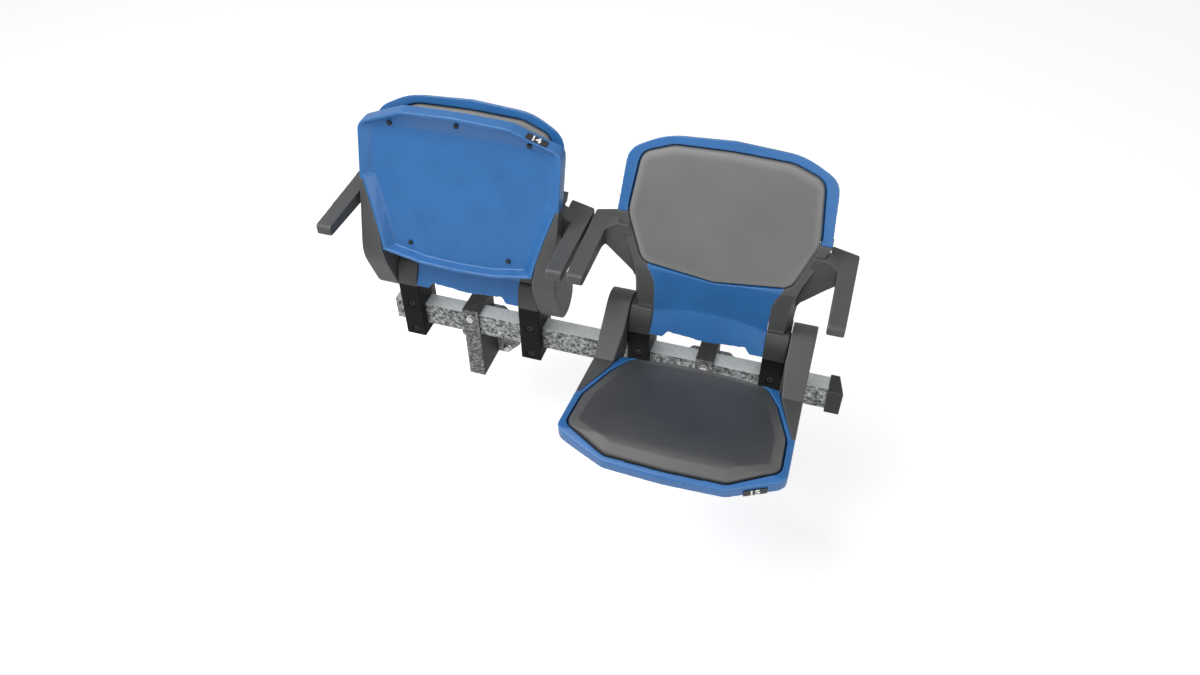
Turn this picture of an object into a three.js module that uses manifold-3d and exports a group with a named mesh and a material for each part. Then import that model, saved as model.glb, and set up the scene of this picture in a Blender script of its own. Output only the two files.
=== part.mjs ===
import * as THREE from "three";
import { mergeVertices } from "three/addons/utils/BufferGeometryUtils.js";
import Module from "manifold-3d";

const wasm = await Module();
wasm.setup();

// A two-seat length of tip-up stadium seating on one steel beam. The left seat is tipped up, the right one
// is down. Millimetres. The origin is on the riser's face, midway between the wall brackets and at their
// plates' middle. Inside the section, y is measured from the beam's front face and z from its top face.

const gap = 0.3; // between pieces that touch
const overrun = 6; // a cutter's reach past the surface that it cuts
const arcSteps = 4; // steps on each rounded corner
const roundSides = 24;
const screwSides = 12;
const slotSides = 72;
const hexSides = 6;

const bracketSpread = 6; // how much farther apart the wall brackets are than the seats
const travel = THREE.MathUtils.degToRad(94.5); // how far a seat tips

const beam = { depth: 40, height: 60, wall: 3, pastLeft: 31, pastRight: 1, setback: 56.5, rise: 120 };
const plate = { width: 156, height: 152, thickness: 8, cut: 34, holeSide: 32, holeEnd: 18, holeRadius: 6.5 };
const bracket = { width: 40, sheet: 5, rise: 13, drop: 137 };
const bolt = { radius: 5, across: 17, head: 6.5, flange: 2, flangeRadius: 10.5, drop: 10, nut: 8, tip: 3 };
const endCap = { lap: 3, plug: 22, cup: 3, front: 10, back: 6, over: 3, under: 2 };
const capLength = { rear: 17, front: 30 };

const upright = { inset: 103, width: 49, jaw: 21.3, foot: 26, top: 132 }; // inset from the seat's side
const uprightEnd = { shoulder: 62, lean: 28, corner: 12 };
const rearClamp = { thickness: 19.7, rise: 20 };
const clampBolt = { radius: 5, headRadius: 8, head: 6, sink: 8, sinkRadius: 10, short: 3 };
const clampBoltReach = { above: 10.5, below: 9.7 }; // from the beam's top and bottom faces

const pivot = { back: 22, rise: 91 };
const pin = { radius: 9, hold: 38, reach: 38 };
const bush = { wall: 4, flange: 1.4, flangeRadius: 22 };
const stop = { inner: 28, outer: 38, reach: 12, halfAngle: THREE.MathUtils.degToRad(11), play: 0.6 };
const stopStart = THREE.MathUtils.degToRad(-90); // the stop lug stands below the pin

const seat = { halfWidth: 228, rear: 55, depth: 348, rimRear: 34, rimRise: 60, wall: 32 };
const seatWall = { draft: 5, lip: 10, cove: 6 };
const pan = { thickness: 3, rearDrop: 12, frontDrop: 20, edge: 6 }; // from the rim to its underside
const seatPad = { side: 16, front: 17, rear: 2, groove: 4, board: 4, inset: 4 };
const seatCushion = { proud: 2, crown: 5, bevel: 16 };
const padScrew = { radius: 2, headRadius: 4.5, head: 3 };
const numberPlate = { width: 46, height: 18, thickness: 1.5, drop: 11 };

const arm = { start: 50, reach: 228, tip: 6, hubRadius: 47, kink: 103, proud: 5, heel: 90 };

const back = { bottom: 73, top: 509.5, narrower: 6, toe: 23, depth: 20, skin: 3 };
const backBends = { fold: 140, bend: 234, bendBack: 4 }; // the heights where its front face turns
const backTaperShare = 0.055; // the back's sides close in by this share over its depth
const taperMiddleShare = 0.66; // and they close in towards this share of its height
const recline = THREE.MathUtils.degToRad(19.5);
const notch = { clear: 34, rise: 14, slope: 6, sag: 6.5 }; // clear of the uprights' inner faces
const backPad = { margin: 24.5, bottom: 232.5, height: 254.5, groove: 4, recess: 13 };
const backCushion = { proud: 2, crown: 4, bevel: 14 };
const backBoard = { thickness: 4, inset: 14 };

const frame = { depth: 34, flare: 14, top: 342 };
const armrest = { clear: 13, width: 34, front: 138, rear: 98, flare: 3, apart: 4 };
const armrestSide = { frontTop: 296, rise: 12, nose: 23, heel: 46 };
const gusset = { front: 25, thickness: 34, foot: 165, top: 321, lap: 27 };
const hook = { reach: 20, front: 37, slant: 16, step: 3 };

// Solids

// A closed geometry as a solid
function solidOf(geometry) {
  const bare = geometry.index ? geometry.toNonIndexed() : geometry.clone();
  bare.deleteAttribute("normal");
  bare.deleteAttribute("uv");
  const merged = mergeVertices(bare);
  const vertProperties = new Float32Array(merged.attributes.position.array);
  const triVerts = new Uint32Array(merged.index.array);
  return new wasm.Manifold(new wasm.Mesh({ numProp: 3, vertProperties, triVerts }));
}

// A solid as a geometry with flat faces
function geometryOf(solid) {
  const mesh = solid.getMesh();
  const shared = new THREE.BufferGeometry();
  shared.setAttribute("position", new THREE.BufferAttribute(new Float32Array(mesh.vertProperties), 3));
  shared.setIndex(new THREE.BufferAttribute(new Uint32Array(mesh.triVerts), 1));
  const flat = shared.toNonIndexed();
  flat.computeVertexNormals();
  return flat;
}

const unitX = new THREE.Vector3(1, 0, 0);
const unitY = new THREE.Vector3(0, 1, 0);
const unitZ = new THREE.Vector3(0, 0, 1);
const bases = {
  x: new THREE.Matrix4().makeBasis(unitY, unitZ, unitX),
  y: new THREE.Matrix4().makeBasis(unitX, unitZ, unitY.clone().negate()),
  z: new THREE.Matrix4().makeBasis(unitX, unitY, unitZ),
};

// A prism of an outline from low to high along an axis. The outline's points are (y, z) on a prism along x,
// (x, z) on one along y and (x, y) on one along z.
function prism(axis, points, low, high) {
  const shape = new THREE.Shape(points.map(([a, b]) => new THREE.Vector2(a, b)));
  const geometry = new THREE.ExtrudeGeometry(shape, { depth: high - low, bevelEnabled: false });
  geometry.applyMatrix4(bases[axis]);
  if (axis === "x") geometry.translate(low, 0, 0);
  if (axis === "y") geometry.translate(0, high, 0);
  if (axis === "z") geometry.translate(0, 0, low);
  return solidOf(geometry);
}

// A box between three pairs of limits
function box([x0, x1], [y0, y1], [z0, z1]) {
  const geometry = new THREE.BoxGeometry(x1 - x0, y1 - y0, z1 - z0);
  return solidOf(geometry.translate((x0 + x1) / 2, (y0 + y1) / 2, (z0 + z1) / 2));
}

// Points round a centre from one angle to another, both ends included
function arc([a, b], radius, from, to, steps) {
  return Array.from({ length: steps + 1 }, (_, i) => {
    const angle = from + ((to - from) * i) / steps;
    return [a + radius * Math.cos(angle), b + radius * Math.sin(angle)];
  });
}

function circle(centre, radius, sides) {
  return arc(centre, radius, 0, 2 * Math.PI, sides).slice(1);
}

function rod(axis, centre, radius, low, high) {
  return prism(axis, circle(centre, radius, roundSides), low, high);
}

// A screw, a bolt or the hole for one
function screw(axis, centre, radius, low, high) {
  return prism(axis, circle(centre, radius, screwSides), low, high);
}

// An outline with its corners rounded; a corner is [a, b, radius], and one with no radius stays sharp
function rounded(corners) {
  return corners.flatMap(([a, b, radius], i) => {
    if (!radius) return [[a, b]];
    const corner = new THREE.Vector2(a, b);
    const before = new THREE.Vector2(...corners.at(i - 1)).sub(corner);
    const after = new THREE.Vector2(...corners[(i + 1) % corners.length]).sub(corner);
    const turn = Math.PI - Math.abs(before.angleTo(after));
    const reach = Math.min(radius * Math.tan(turn / 2), before.length() / 2, after.length() / 2);
    const start = corner.clone().add(before.setLength(reach));
    const end = corner.clone().add(after.setLength(reach));
    const curve = new THREE.QuadraticBezierCurve(start, corner, end);
    return curve.getPoints(arcSteps).map((point) => [point.x, point.y]);
  });
}

// A right-hand half outline, from its first middle point to its last, joined to its mirror image
function bothHalves(half) {
  const left = half.filter(([a]) => a > 0).map(([a, ...rest]) => [-a, ...rest]);
  return [...half, ...left.reverse()];
}

function turnSign(points) {
  return THREE.ShapeUtils.isClockWise(points.map(([a, b]) => new THREE.Vector2(a, b))) ? -1 : 1;
}

// An outline with every side moved outwards by a distance
function grown(points, distance) {
  const sign = turnSign(points);
  return points.map(([a, b], i) => {
    const [a0, b0] = points.at(i - 1);
    const [a1, b1] = points[(i + 1) % points.length];
    const u = new THREE.Vector2(a - a0, b - b0).normalize();
    const v = new THREE.Vector2(a1 - a, b1 - b).normalize();
    const step = (distance * sign) / (1 + u.dot(v));
    return [a + (u.y + v.y) * step, b - (u.x + v.x) * step];
  });
}

// A closed skin through rings of equally many points. Flat gives a point's place in the plane of the end
// rings, and the rings follow each other along that plane's normal.
function skin(loops, flat) {
  const rings = turnSign(loops[0].map(flat)) > 0 ? loops : loops.map((loop) => [...loop].reverse());
  const count = rings[0].length;
  const index = [];
  for (let r = 0; r + 1 < rings.length; r++)
    for (let i = 0; i < count; i++) {
      const [p, q] = [r * count + i, r * count + ((i + 1) % count)];
      index.push(p, q, q + count, p, q + count, p + count);
    }
  const ends = [
    [rings[0], 0, true],
    [rings.at(-1), (rings.length - 1) * count, false],
  ];
  for (const [ring, first, reversed] of ends) {
    const plane = ring.map((point) => new THREE.Vector2(...flat(point)));
    for (const face of THREE.ShapeUtils.triangulateShape(plane, [])) {
      const facing = THREE.ShapeUtils.area(face.map((i) => plane[i])) > 0;
      const turned = facing === reversed ? [...face].reverse() : face;
      index.push(...turned.map((i) => first + i));
    }
  }
  const geometry = new THREE.BufferGeometry();
  geometry.setAttribute("position", new THREE.BufferAttribute(new Float32Array(rings.flat(2)), 3));
  geometry.setIndex(index);
  return solidOf(geometry);
}

// A point's place in the plane of a skin's end rings
const fromFront = ([x, , z]) => [x, z];
const fromAbove = ([x, y]) => [x, y];

// A height read from a table of [place, height] points in rising order of place
function along(table, place) {
  const last = table.length - 1;
  const i = Math.min(Math.max(table.findIndex(([p]) => p >= place), 1), last);
  const j = place > table[last][0] ? last : i;
  const [[p0, h0], [p1, h1]] = [table[j - 1], table[j]];
  return h0 + ((h1 - h0) * (place - p0)) / (p1 - p0);
}

// Places that several pieces share

const armrestInner = seat.halfWidth + armrest.clear;
const armrestOuter = armrestInner + armrest.width;
const seatPitch = 2 * (armrestOuter + armrest.flare) + armrest.apart;
const bracketPitch = seatPitch + bracketSpread;
const seatX = [bracketPitch / 2 - seatPitch, bracketPitch / 2];
const bracketX = [-bracketPitch / 2, bracketPitch / 2];
const riserY = beam.depth + beam.setback;
const uprightInner = seat.halfWidth - upright.inset;
const uprightOuter = uprightInner + upright.width;
const uprightMiddle = uprightInner + upright.width / 2;
const beamLeft = seatX[0] - uprightOuter - beam.pastLeft;
const beamRight = seatX[1] + armrestOuter + armrest.flare + beam.pastRight;
const uprightFront = -(gap + upright.jaw);
const uprightBack = beam.depth + gap + rearClamp.thickness;
const uprightBottom = -(beam.height + upright.foot);
const clampBoltZ = [clampBoltReach.above, -(beam.height + clampBoltReach.below)];
const hubInner = uprightOuter + bush.flange + 2 * gap;
const pinPoint = [pivot.back, pivot.rise];

// The seat's rim seen from the side, as shares of its depth and of its rise. It falls again at the front.
const rimShares = [[0, 0], [0.508, 0.6], [0.846, 0.965], [1, 0.7]];
const seatFront = -(seat.rear + seat.depth);
const rimTable = rimShares
  .map(([s, h]) => [-(seat.rear + s * seat.depth), seat.rimRear + h * seat.rimRise])
  .reverse();
const rimAt = (y) => along(rimTable, y);
const dropTable = [[seatFront, pan.frontDrop], [-seat.rear, pan.rearDrop]];
const panUnderAt = (y) => rimAt(y) - along(dropTable, y);
const panTopAt = (y) => panUnderAt(y) + pan.thickness;

// The line where a hinge arm meets the seat shell, as shares of the arm's taper and of its length
const joinShares = [[0, 0], [0.174, 0.32], [0.5, 0.607], [1, 1]];
const joinLine = joinShares.map(([w, l]) => [
  hubInner + w * (seat.halfWidth - arm.tip - hubInner),
  -(arm.start + l * (arm.reach - arm.start)),
]);

// The part of a seat's side view between two heights over the pan's underside
function panSlab(low, high) {
  const bends = rimTable.map(([y]) => y).slice(1, -1);
  const places = [seatFront - overrun, ...bends, overrun - seat.rear];
  const line = (height) => places.map((y) => [y, panUnderAt(y) + height]);
  return prism("x", [...line(low), ...line(high).reverse()], -seat.halfWidth, seat.halfWidth);
}

// The back's front face seen from the side
const backHalfWidth = seat.halfWidth - back.narrower;
const backTop = backBends.bendBack + Math.tan(recline) * (back.top - backBends.bend);
const backLine = [
  [-back.toe, back.bottom],
  [0, backBends.fold],
  [backBends.bendBack, backBends.bend],
  [backTop, back.top],
];
const backAt = (z) => along(backLine.map(([y, height]) => [height, y]), z);

// Low and high y of a cutter that goes through the whole back
const throughBack = [-(back.toe + overrun), backTop + back.depth + overrun];

// The part of a back's side view that lies between two depths behind its front face
function backSlab(near, far) {
  const shift = (depth) => backLine.map(([y, z]) => [y + depth, z]);
  const reach = Math.tan(recline) * overrun;
  const [low, high] = [back.bottom - overrun, back.top + overrun];
  const side = (depth) => {
    const line = shift(depth);
    return [[line[0][0], low], ...line, [line.at(-1)[0] + reach, high]];
  };
  const outline = [...side(near), ...side(far).reverse()];
  return prism("x", outline, -(seat.halfWidth + armrest.width), seat.halfWidth + armrest.width);
}

// Beam, brackets and wall plates

function beamSolid() {
  const tube = box([beamLeft, beamRight], [0, beam.depth], [-beam.height, 0]);
  const bore = box(
    [beamLeft - overrun, beamRight + overrun],
    [beam.wall, beam.depth - beam.wall],
    [beam.wall - beam.height, -beam.wall],
  );
  let body = tube.subtract(bore);
  for (const x of bracketX)
    body = body.subtract(screw("y", [x, -bolt.drop], bolt.radius + gap, -overrun, beam.depth + overrun));
  return body;
}

function bracketSolid() {
  const half = bracket.width / 2;
  const front = -(gap + bracket.sheet);
  const rear = riserY - plate.thickness - gap;
  const bottom = -(beam.height + bracket.drop);
  const channel = box([-half, half], [front, rear], [bottom, bracket.rise]);
  const inside = box(
    [bracket.sheet - half, half - bracket.sheet],
    [-gap, rear + overrun],
    [bottom - overrun, bracket.rise - bracket.sheet],
  );
  const across = [-half - overrun, half + overrun];
  const window = box(across, [-gap, beam.depth + gap], [-beam.height - gap, gap]);
  const hole = screw("y", [0, -bolt.drop], bolt.radius + gap, front - overrun, overrun);
  return channel.subtract(inside).subtract(window).subtract(hole);
}

function plateSolid() {
  const [x, z, cut] = [plate.width / 2, plate.height / 2, plate.cut];
  const half = [[x - cut, -z], [x, cut - z], [x, z - cut], [x - cut, z]];
  const outline = [...half, ...half.map(([a, b]) => [-a, -b])];
  const low = riserY - plate.thickness;
  let body = prism("y", outline, low, riserY);
  for (const side of [-1, 1])
    for (const level of [-1, 1]) {
      const centre = [side * (x - plate.holeSide), level * (z - plate.holeEnd)];
      body = body.subtract(screw("y", centre, plate.holeRadius, low - overrun, riserY + overrun));
    }
  return body;
}

function hexRadius(across) {
  return across / 2 / Math.cos(Math.PI / hexSides);
}

function bracketBoltSolid() {
  const seatY = -(gap + bracket.sheet) - gap;
  const hexagon = circle([0, 0], hexRadius(bolt.across), hexSides);
  const head = prism("y", hexagon, seatY - bolt.flange - bolt.head, seatY);
  const flange = screw("y", [0, 0], bolt.flangeRadius, seatY - bolt.flange, seatY);
  const end = beam.depth + gap + bolt.nut + bolt.tip;
  const shank = screw("y", [0, 0], bolt.radius, seatY - bolt.flange, end);
  return head.add(flange).add(shank);
}

function nutSolid() {
  const [low, high] = [beam.depth + gap, beam.depth + gap + bolt.nut];
  const body = prism("y", circle([0, 0], hexRadius(bolt.across), hexSides), low, high);
  return body.subtract(screw("y", [0, 0], bolt.radius + gap, low - overrun, high + overrun));
}

// A cap over the beam's right end, with a plug inside the beam. Its x starts at the beam's end.
function endCapSolid() {
  const [front, rear] = [-endCap.front, beam.depth + endCap.back];
  const outline = [
    [-endCap.lap, front],
    [capLength.front, front],
    [capLength.rear, rear],
    [-endCap.lap, rear],
  ];
  const body = prism("z", outline, -(beam.height + endCap.under), endCap.over);
  const pocket = box([-endCap.lap - overrun, gap], [-gap, beam.depth + gap], [-beam.height - gap, gap]);
  const inner = beam.wall + gap;
  const plug = box(
    [-endCap.plug, capLength.rear / 2],
    [inner, beam.depth - inner],
    [inner - beam.height, -inner],
  );
  const cup = box(
    [-endCap.plug - overrun, -gap],
    [inner + endCap.cup, beam.depth - inner - endCap.cup],
    [inner + endCap.cup - beam.height, -inner - endCap.cup],
  );
  return body.subtract(pocket).add(plug.subtract(cup));
}

// Right-hand pieces of a seat's fixed side

function clampHoles(radius, low, high) {
  return clampBoltZ.map((z) => screw("y", [uprightMiddle, z], radius, low, high));
}

function uprightSolid() {
  const { shoulder, lean, corner } = uprightEnd;
  const seam = upright.top - shoulder;
  const front = new THREE.EllipseCurve(
    uprightFront + lean, seam, lean, shoulder, Math.PI, Math.PI / 2, true,
  );
  const clampTop = rearClamp.rise + gap;
  const outline = [
    [uprightFront, uprightBottom],
    ...front.getPoints(2 * arcSteps).map((point) => [point.x, point.y]),
    ...arc([uprightBack - corner, upright.top - corner], corner, Math.PI / 2, 0, arcSteps),
    [uprightBack, clampTop],
    [beam.depth, clampTop],
    [beam.depth, gap],
    [-gap, gap],
    [-gap, -beam.height - gap],
    [beam.depth, -beam.height - gap],
    [beam.depth, uprightBottom],
  ];
  let body = prism("x", outline, uprightInner, uprightOuter);
  const lug = sector(stop.inner, stop.outer, stopStart - stop.halfAngle, stopStart + stop.halfAngle);
  body = body.add(prism("x", lug, uprightOuter - bush.flange, uprightOuter + stop.reach));
  const pinEnd = uprightOuter - pin.hold - gap;
  body = body.subtract(rod("x", pinPoint, pin.radius + gap, pinEnd, uprightOuter + overrun));
  const mouth = uprightFront - overrun;
  const holes = clampHoles(clampBolt.radius + gap, mouth, beam.depth + overrun);
  const sinks = clampHoles(clampBolt.sinkRadius, mouth, uprightFront + clampBolt.sink);
  return [...holes, ...sinks].reduce((left, hole) => left.subtract(hole), body);
}

// A part of a ring round the pin, seen from the side
function sector(inner, outer, from, to) {
  const steps = Math.ceil(((to - from) / (2 * Math.PI)) * slotSides);
  return [...arc(pinPoint, outer, from, to, steps), ...arc(pinPoint, inner, to, from, steps)];
}

function rearClampSolid() {
  const low = beam.depth + gap;
  let body = box([uprightInner, uprightOuter], [low, uprightBack], [uprightBottom, rearClamp.rise]);
  for (const hole of clampHoles(clampBolt.radius + gap, low - overrun, uprightBack + overrun))
    body = body.subtract(hole);
  return body;
}

function clampBoltSolid(z) {
  const seatY = uprightFront + clampBolt.sink - gap;
  const head = screw("y", [uprightMiddle, z], clampBolt.headRadius, seatY - clampBolt.head, seatY);
  const socket = circle([uprightMiddle, z], clampBolt.radius, hexSides);
  const recess = prism("y", socket, seatY - clampBolt.head - overrun, seatY - clampBolt.head / 2);
  const end = uprightBack - clampBolt.short;
  const shank = screw("y", [uprightMiddle, z], clampBolt.radius, seatY - gap, end);
  return head.subtract(recess).add(shank);
}

function pinSolid() {
  return rod("x", pinPoint, pin.radius, uprightOuter - pin.hold, uprightOuter + pin.reach);
}

function bushSolid() {
  const low = uprightOuter + gap;
  const high = uprightOuter + pin.reach;
  const sleeve = rod("x", pinPoint, pin.radius + gap + bush.wall, low, high);
  const flange = rod("x", pinPoint, bush.flangeRadius, low, low + bush.flange);
  return sleeve.add(flange).subtract(rod("x", pinPoint, pin.radius + gap, low - overrun, high + overrun));
}

// Corners of the back pad as shares of its half width and height, with their radii
const backPadShares = [
  [0, 0, 0],
  [0.787, 0.065, 0.16],
  [1, 0.44, 0.3],
  [0.925, 0.9, 0.16],
  [0.6, 0.985, 0.3],
  [0, 1, 0],
];
const backPadHalfWidth = backHalfWidth - backPad.margin;
const backPadHalf = backPadShares.map(([w, h, r]) => [
  w * backPadHalfWidth,
  backPad.bottom + h * backPad.height,
  r * backPadHalfWidth,
]);
const backPadOutline = rounded(bothHalves(backPadHalf));

// Where the side frame's inner edge leaves the upright and meets the pad's groove, as shares of the way
const riseShares = [[0, 0.54], [0.28, 0.76], [0.7, 0.96]];
const groovePoints = grown(backPadOutline, backPad.groove);
const cornerShare = 0.757; // of the pad's half width, where its lower corner begins
const grooveSide = groovePoints.filter(([w, z]) => w > cornerShare * backPadHalfWidth && z < frame.top);

function riseLine(offset) {
  const [w1, z1] = grooveSide[0];
  const { fold } = backBends;
  const across = w1 - uprightInner;
  return riseShares.map(([w, h]) => [uprightInner + w * across + offset, fold + h * (z1 - fold)]);
}

// Corners of the back's upper rim as shares of its half width and of its height above the side frames, with
// their radii
const rimCornerShares = [[1, 0, 0], [0.959, 0.742, 0.2], [0.632, 0.953, 0.67], [0, 1, 0]];

// The back shell's outline
function backOutline() {
  const inner = uprightInner - gap;
  const notchSide = uprightInner - notch.clear;
  const hem = [
    [0, back.bottom + notch.rise - notch.sag],
    [notchSide - notch.slope, back.bottom + notch.rise],
    [notchSide + notch.slope, back.bottom],
    [inner, back.bottom],
  ];
  const rim = rimCornerShares.map(([w, h, r]) => [
    w * backHalfWidth,
    frame.top + gap + h * (back.top - frame.top - gap),
    r * backHalfWidth,
  ]);
  const groove = grooveSide.map(([w, z]) => [w - gap, z]);
  const shelf = [grooveSide.at(-1)[0] - gap, frame.top + gap];
  const edge = [...hem, [inner, backBends.fold], ...riseLine(-gap), ...groove, shelf, ...rim];
  return rounded(bothHalves(edge));
}

// A block of the back's outline whose sides close in towards the rear
function backBlock(outline) {
  const middle = back.bottom + taperMiddleShare * (back.top - back.bottom);
  const ring = (depth) => {
    const scale = 1 - (backTaperShare * depth) / back.depth;
    const shrunk = outline.map(([w, z]) => [w * scale, middle + (z - middle) * scale]);
    return shrunk.map(([w, z]) => [w, backAt(z) + depth, z]);
  };
  const margin = backTop / 2;
  return skin([ring(back.depth + margin), ring(-margin)], fromFront);
}

function backShellSolid() {
  const outline = backOutline();
  const face = backBlock(outline);
  const inside = backBlock(grown(outline, -back.skin)).intersect(backSlab(back.skin, back.depth + overrun));
  const recess = prism("y", groovePoints, ...throughBack);
  const around = prism("y", grown(groovePoints, back.skin), ...throughBack);
  const walls = face.intersect(backSlab(0, back.depth)).subtract(inside);
  const floor = face.intersect(around).intersect(backSlab(back.skin / 2, backPad.recess + back.skin));
  const cavity = recess.intersect(backSlab(-overrun, backPad.recess));
  const side = frameSolid(gap);
  const otherSide = solidOf(mirrored(geometryOf(side)));
  return walls.add(floor).subtract(cavity).subtract(side).subtract(otherSide);
}

function backBoardSolid() {
  const depth = backPad.recess - gap;
  const outline = prism("y", grown(backPadOutline, -backBoard.inset), ...throughBack);
  return outline.intersect(backSlab(depth - backBoard.thickness, depth));
}

// A cushion's rings from the underside to the top's edge, each a share of the outline and of the height
const sideRingShares = [[0.985, 0], [1, 0.3], [1, 0.62], [0.988, 0.9], [0.97, 1]];
// The rings on its crowned top, as shares of the bevel's inner edge
const topRingShares = [0.7, 0.4, 0.12];

// A cushion on an outline: place(a, b, height, lift) puts a point at a share of the cushion's thickness
function cushionRings(outline, centre, bevel, crown, place) {
  const ring = (share, height, lift) => {
    const scaled = outline.map(([a, b]) => [a * share, centre + (b - centre) * share]);
    return scaled.map(([a, b]) => place(a, b, height, lift));
  };
  const widest = Math.max(...outline.map(([a]) => a));
  const edge = 1 - bevel / widest;
  const tops = [edge, ...topRingShares.map((share) => share * edge)];
  return [
    ...sideRingShares.map(([share, height]) => ring(share, height, 0)),
    ...tops.map((share) => ring(share, 1, crown * (1 - (share * share) / 2))),
  ];
}

function backPadSolid() {
  const middle = backPad.bottom + backPad.height / 2;
  const deep = backPad.recess - 2 * gap - backBoard.thickness;
  const thick = deep + backCushion.proud;
  const place = (a, b, height, lift) => [a, backAt(b) + deep - height * thick - lift, b];
  const rings = cushionRings(backPadOutline, middle, backCushion.bevel, backCushion.crown, place);
  return skin(rings, fromFront);
}

// Side frame: its front outline, whose outer side flares towards the back

// The outer edge as shares of the way from the upright's outer face to the back's side, and of the height
const outerEdgeShares = [[-0.33, 0], [-0.27, 0.2], [-0.17, 0.4], [0.12, 0.6], [0.79, 0.9], [0.99, 1]];
// How much of the flare each of those points takes
const flareShares = [1, 1, 0.75, 0.75, 0.5, 0];

function frameSolid(extra) {
  const bottom = upright.top + gap - extra;
  const inner = uprightInner - extra;
  const height = frame.top - bottom;
  const innerEdge = [[inner, bottom], ...riseLine(-extra), ...grooveSide.map(([w, z]) => [w - extra, z])];
  const crest = [grooveSide.at(-1)[0] - extra, frame.top + extra];
  const outerEdge = outerEdgeShares.map(([w, h]) => [
    uprightOuter + w * (backHalfWidth - uprightOuter) + extra,
    bottom + h * height + (h === 1 ? extra : 0),
  ]);
  const flares = [...innerEdge.map(() => 0), 0, ...[...flareShares].reverse()];
  const front = [...innerEdge, crest, ...[...outerEdge].reverse()];
  const ring = (depth) =>
    front.map(([w, z], i) => [w + (depth / frame.depth) * flares[i] * frame.flare, backAt(z) + depth, z]);
  const body = skin([ring(frame.depth + overrun), ring(-overrun)], fromFront);
  return body.intersect(backSlab(-extra, frame.depth + extra));
}

// The web's lower edge as shares of the way from the upright's outer face to the armrest's inner one, and of
// the way from its foot to the armrest's underside
const webShares = [[-0.36, 0.35], [-0.36, 0], [-0.18, 0], [0.1, 0.4], [0.6, 0.74], [1, 1]];

function armrestSolid() {
  const [inner, outer] = [armrestInner, armrestOuter];
  const { frontTop, nose } = armrestSide;
  const topRear = frontTop + armrestSide.rise;
  const bottomRear = topRear - armrestSide.heel;
  const profile = rounded([
    [-armrest.front, frontTop, nose / 2],
    [-armrest.front, frontTop - nose, nose / 4],
    [0, frontTop - nose, armrest.front / 2],
    [gusset.front, bottomRear, 0],
    [armrest.rear, bottomRear, 0],
    [armrest.rear, topRear, 0],
  ]);
  const plan = rounded([
    [inner, -armrest.front, nose / 4],
    [outer, -armrest.front, nose / 4],
    [outer + armrest.flare, armrest.rear - hook.slant, nose / 4],
    [inner - hook.slant, armrest.rear, 0],
    [inner - hook.reach, armrest.rear, 0],
    [inner - hook.reach, hook.front, 0],
    [inner - hook.step, hook.front, 0],
    [inner, hook.front - hook.step, 0],
  ]);
  const bar = prism("x", profile, 0, outer + armrest.flare + overrun);
  const body = bar.intersect(prism("z", plan, 0, topRear + overrun));
  const corner = inner - hook.reach - hook.step;
  const web = [
    ...webShares.map(([w, h]) => [
      uprightOuter + w * (inner - uprightOuter),
      gusset.foot + h * (bottomRear - gusset.foot),
    ]),
    [inner, topRear - hook.step],
    [corner, gusset.top],
    [corner - gusset.lap, gusset.top],
  ];
  const plateBody = prism("y", web, gusset.front, gusset.front + gusset.thickness);
  return body.add(plateBody).subtract(frameSolid(gap)).subtract(backClear());
}

// The room that the back shell and the frame's inner side take, which the armrest stays out of
function backClear() {
  const foot = grooveSide[0][1] - gusset.thickness;
  const outline = [[0, foot], [uprightInner, foot], ...grooveSide];
  const inside = [...outline, [grooveSide.at(-1)[0], back.top], [0, back.top]];
  const round = prism("y", grown(backOutline(), gap), ...throughBack);
  return prism("y", inside, ...throughBack).add(round.intersect(backSlab(-gap, back.depth + gap)));
}

// Moving pieces, drawn in the lowered position

const padDepth = seat.depth - seatPad.front - seatPad.rear;
// Corners of the seat pad as shares of its half width and depth, with their radii
const seatPadShares = [
  [0, 1, 0],
  [0.565, 0.99, 0.2],
  [1, 0.848, 0.16],
  [0.99, 0.542, 0.3],
  [0.84, 0.229, 0.3],
  [0.69, 0.047, 0.16],
  [0.35, 0.008, 0.5],
  [0, 0, 0],
];
const seatPadHalfWidth = seat.halfWidth - seatPad.side;
const seatPadHalf = seatPadShares.map(([w, d, r]) => [
  w * seatPadHalfWidth,
  -(seat.rear + seatPad.rear + d * padDepth),
  r * seatPadHalfWidth,
]);
const seatPadOutline = rounded(bothHalves(seatPadHalf));
// Corners of the seat shell's front as shares of its half width and depth, with their radii
const seatFrontShares = [[0, 1, 0], [0.529, 0.985, 0.2], [1, 0.857, 0.12]];
// And those of its rear, as shares of the width up to the hinge arms
const seatRearShares = [[0.96, 0.048, 0], [0.49, 0.008, 0.5], [0, 0, 0]];

function seatOutlineHalf() {
  const corner = (width) => ([w, d, r]) => [w * width, -(seat.rear + d * seat.depth), r * width];
  const [[hubW, hubY], ...rest] = joinLine;
  const join = rest.reverse().map(([w, y]) => [w - gap, y]);
  join[0][1] -= gap;
  const outside = [seat.halfWidth, join[0][1]];
  const nearHub = [hubW, (hubY + join.at(-1)[1]) / 2 + seatWall.cove];
  const front = seatFrontShares.map(corner(seat.halfWidth));
  return [...front, outside, ...join, nearHub, ...seatRearShares.map(corner(hubInner))];
}

// The pad screws as shares of the pad's half width and depth
const screwShares = [[-0.735, 0.905], [0, 0.967], [0.735, 0.905], [-0.548, 0.11], [0.548, 0.11]];
const screwPoints = screwShares.map(([w, d]) => [
  w * seatPadHalfWidth,
  -(seat.rear + seatPad.rear + d * padDepth),
]);

function seatProfile() {
  const lower = (y) => rimAt(y) - seat.wall;
  const bottom = rimTable.map(([y]) => [y, lower(y)]);
  const [[frontY, frontTop]] = rimTable;
  return rounded([
    [frontY, frontTop, seatWall.lip],
    ...rimTable.slice(1),
    ...bottom.slice(1).reverse(),
    [frontY, lower(frontY) + pan.thickness, seatWall.lip],
  ]);
}

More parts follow.
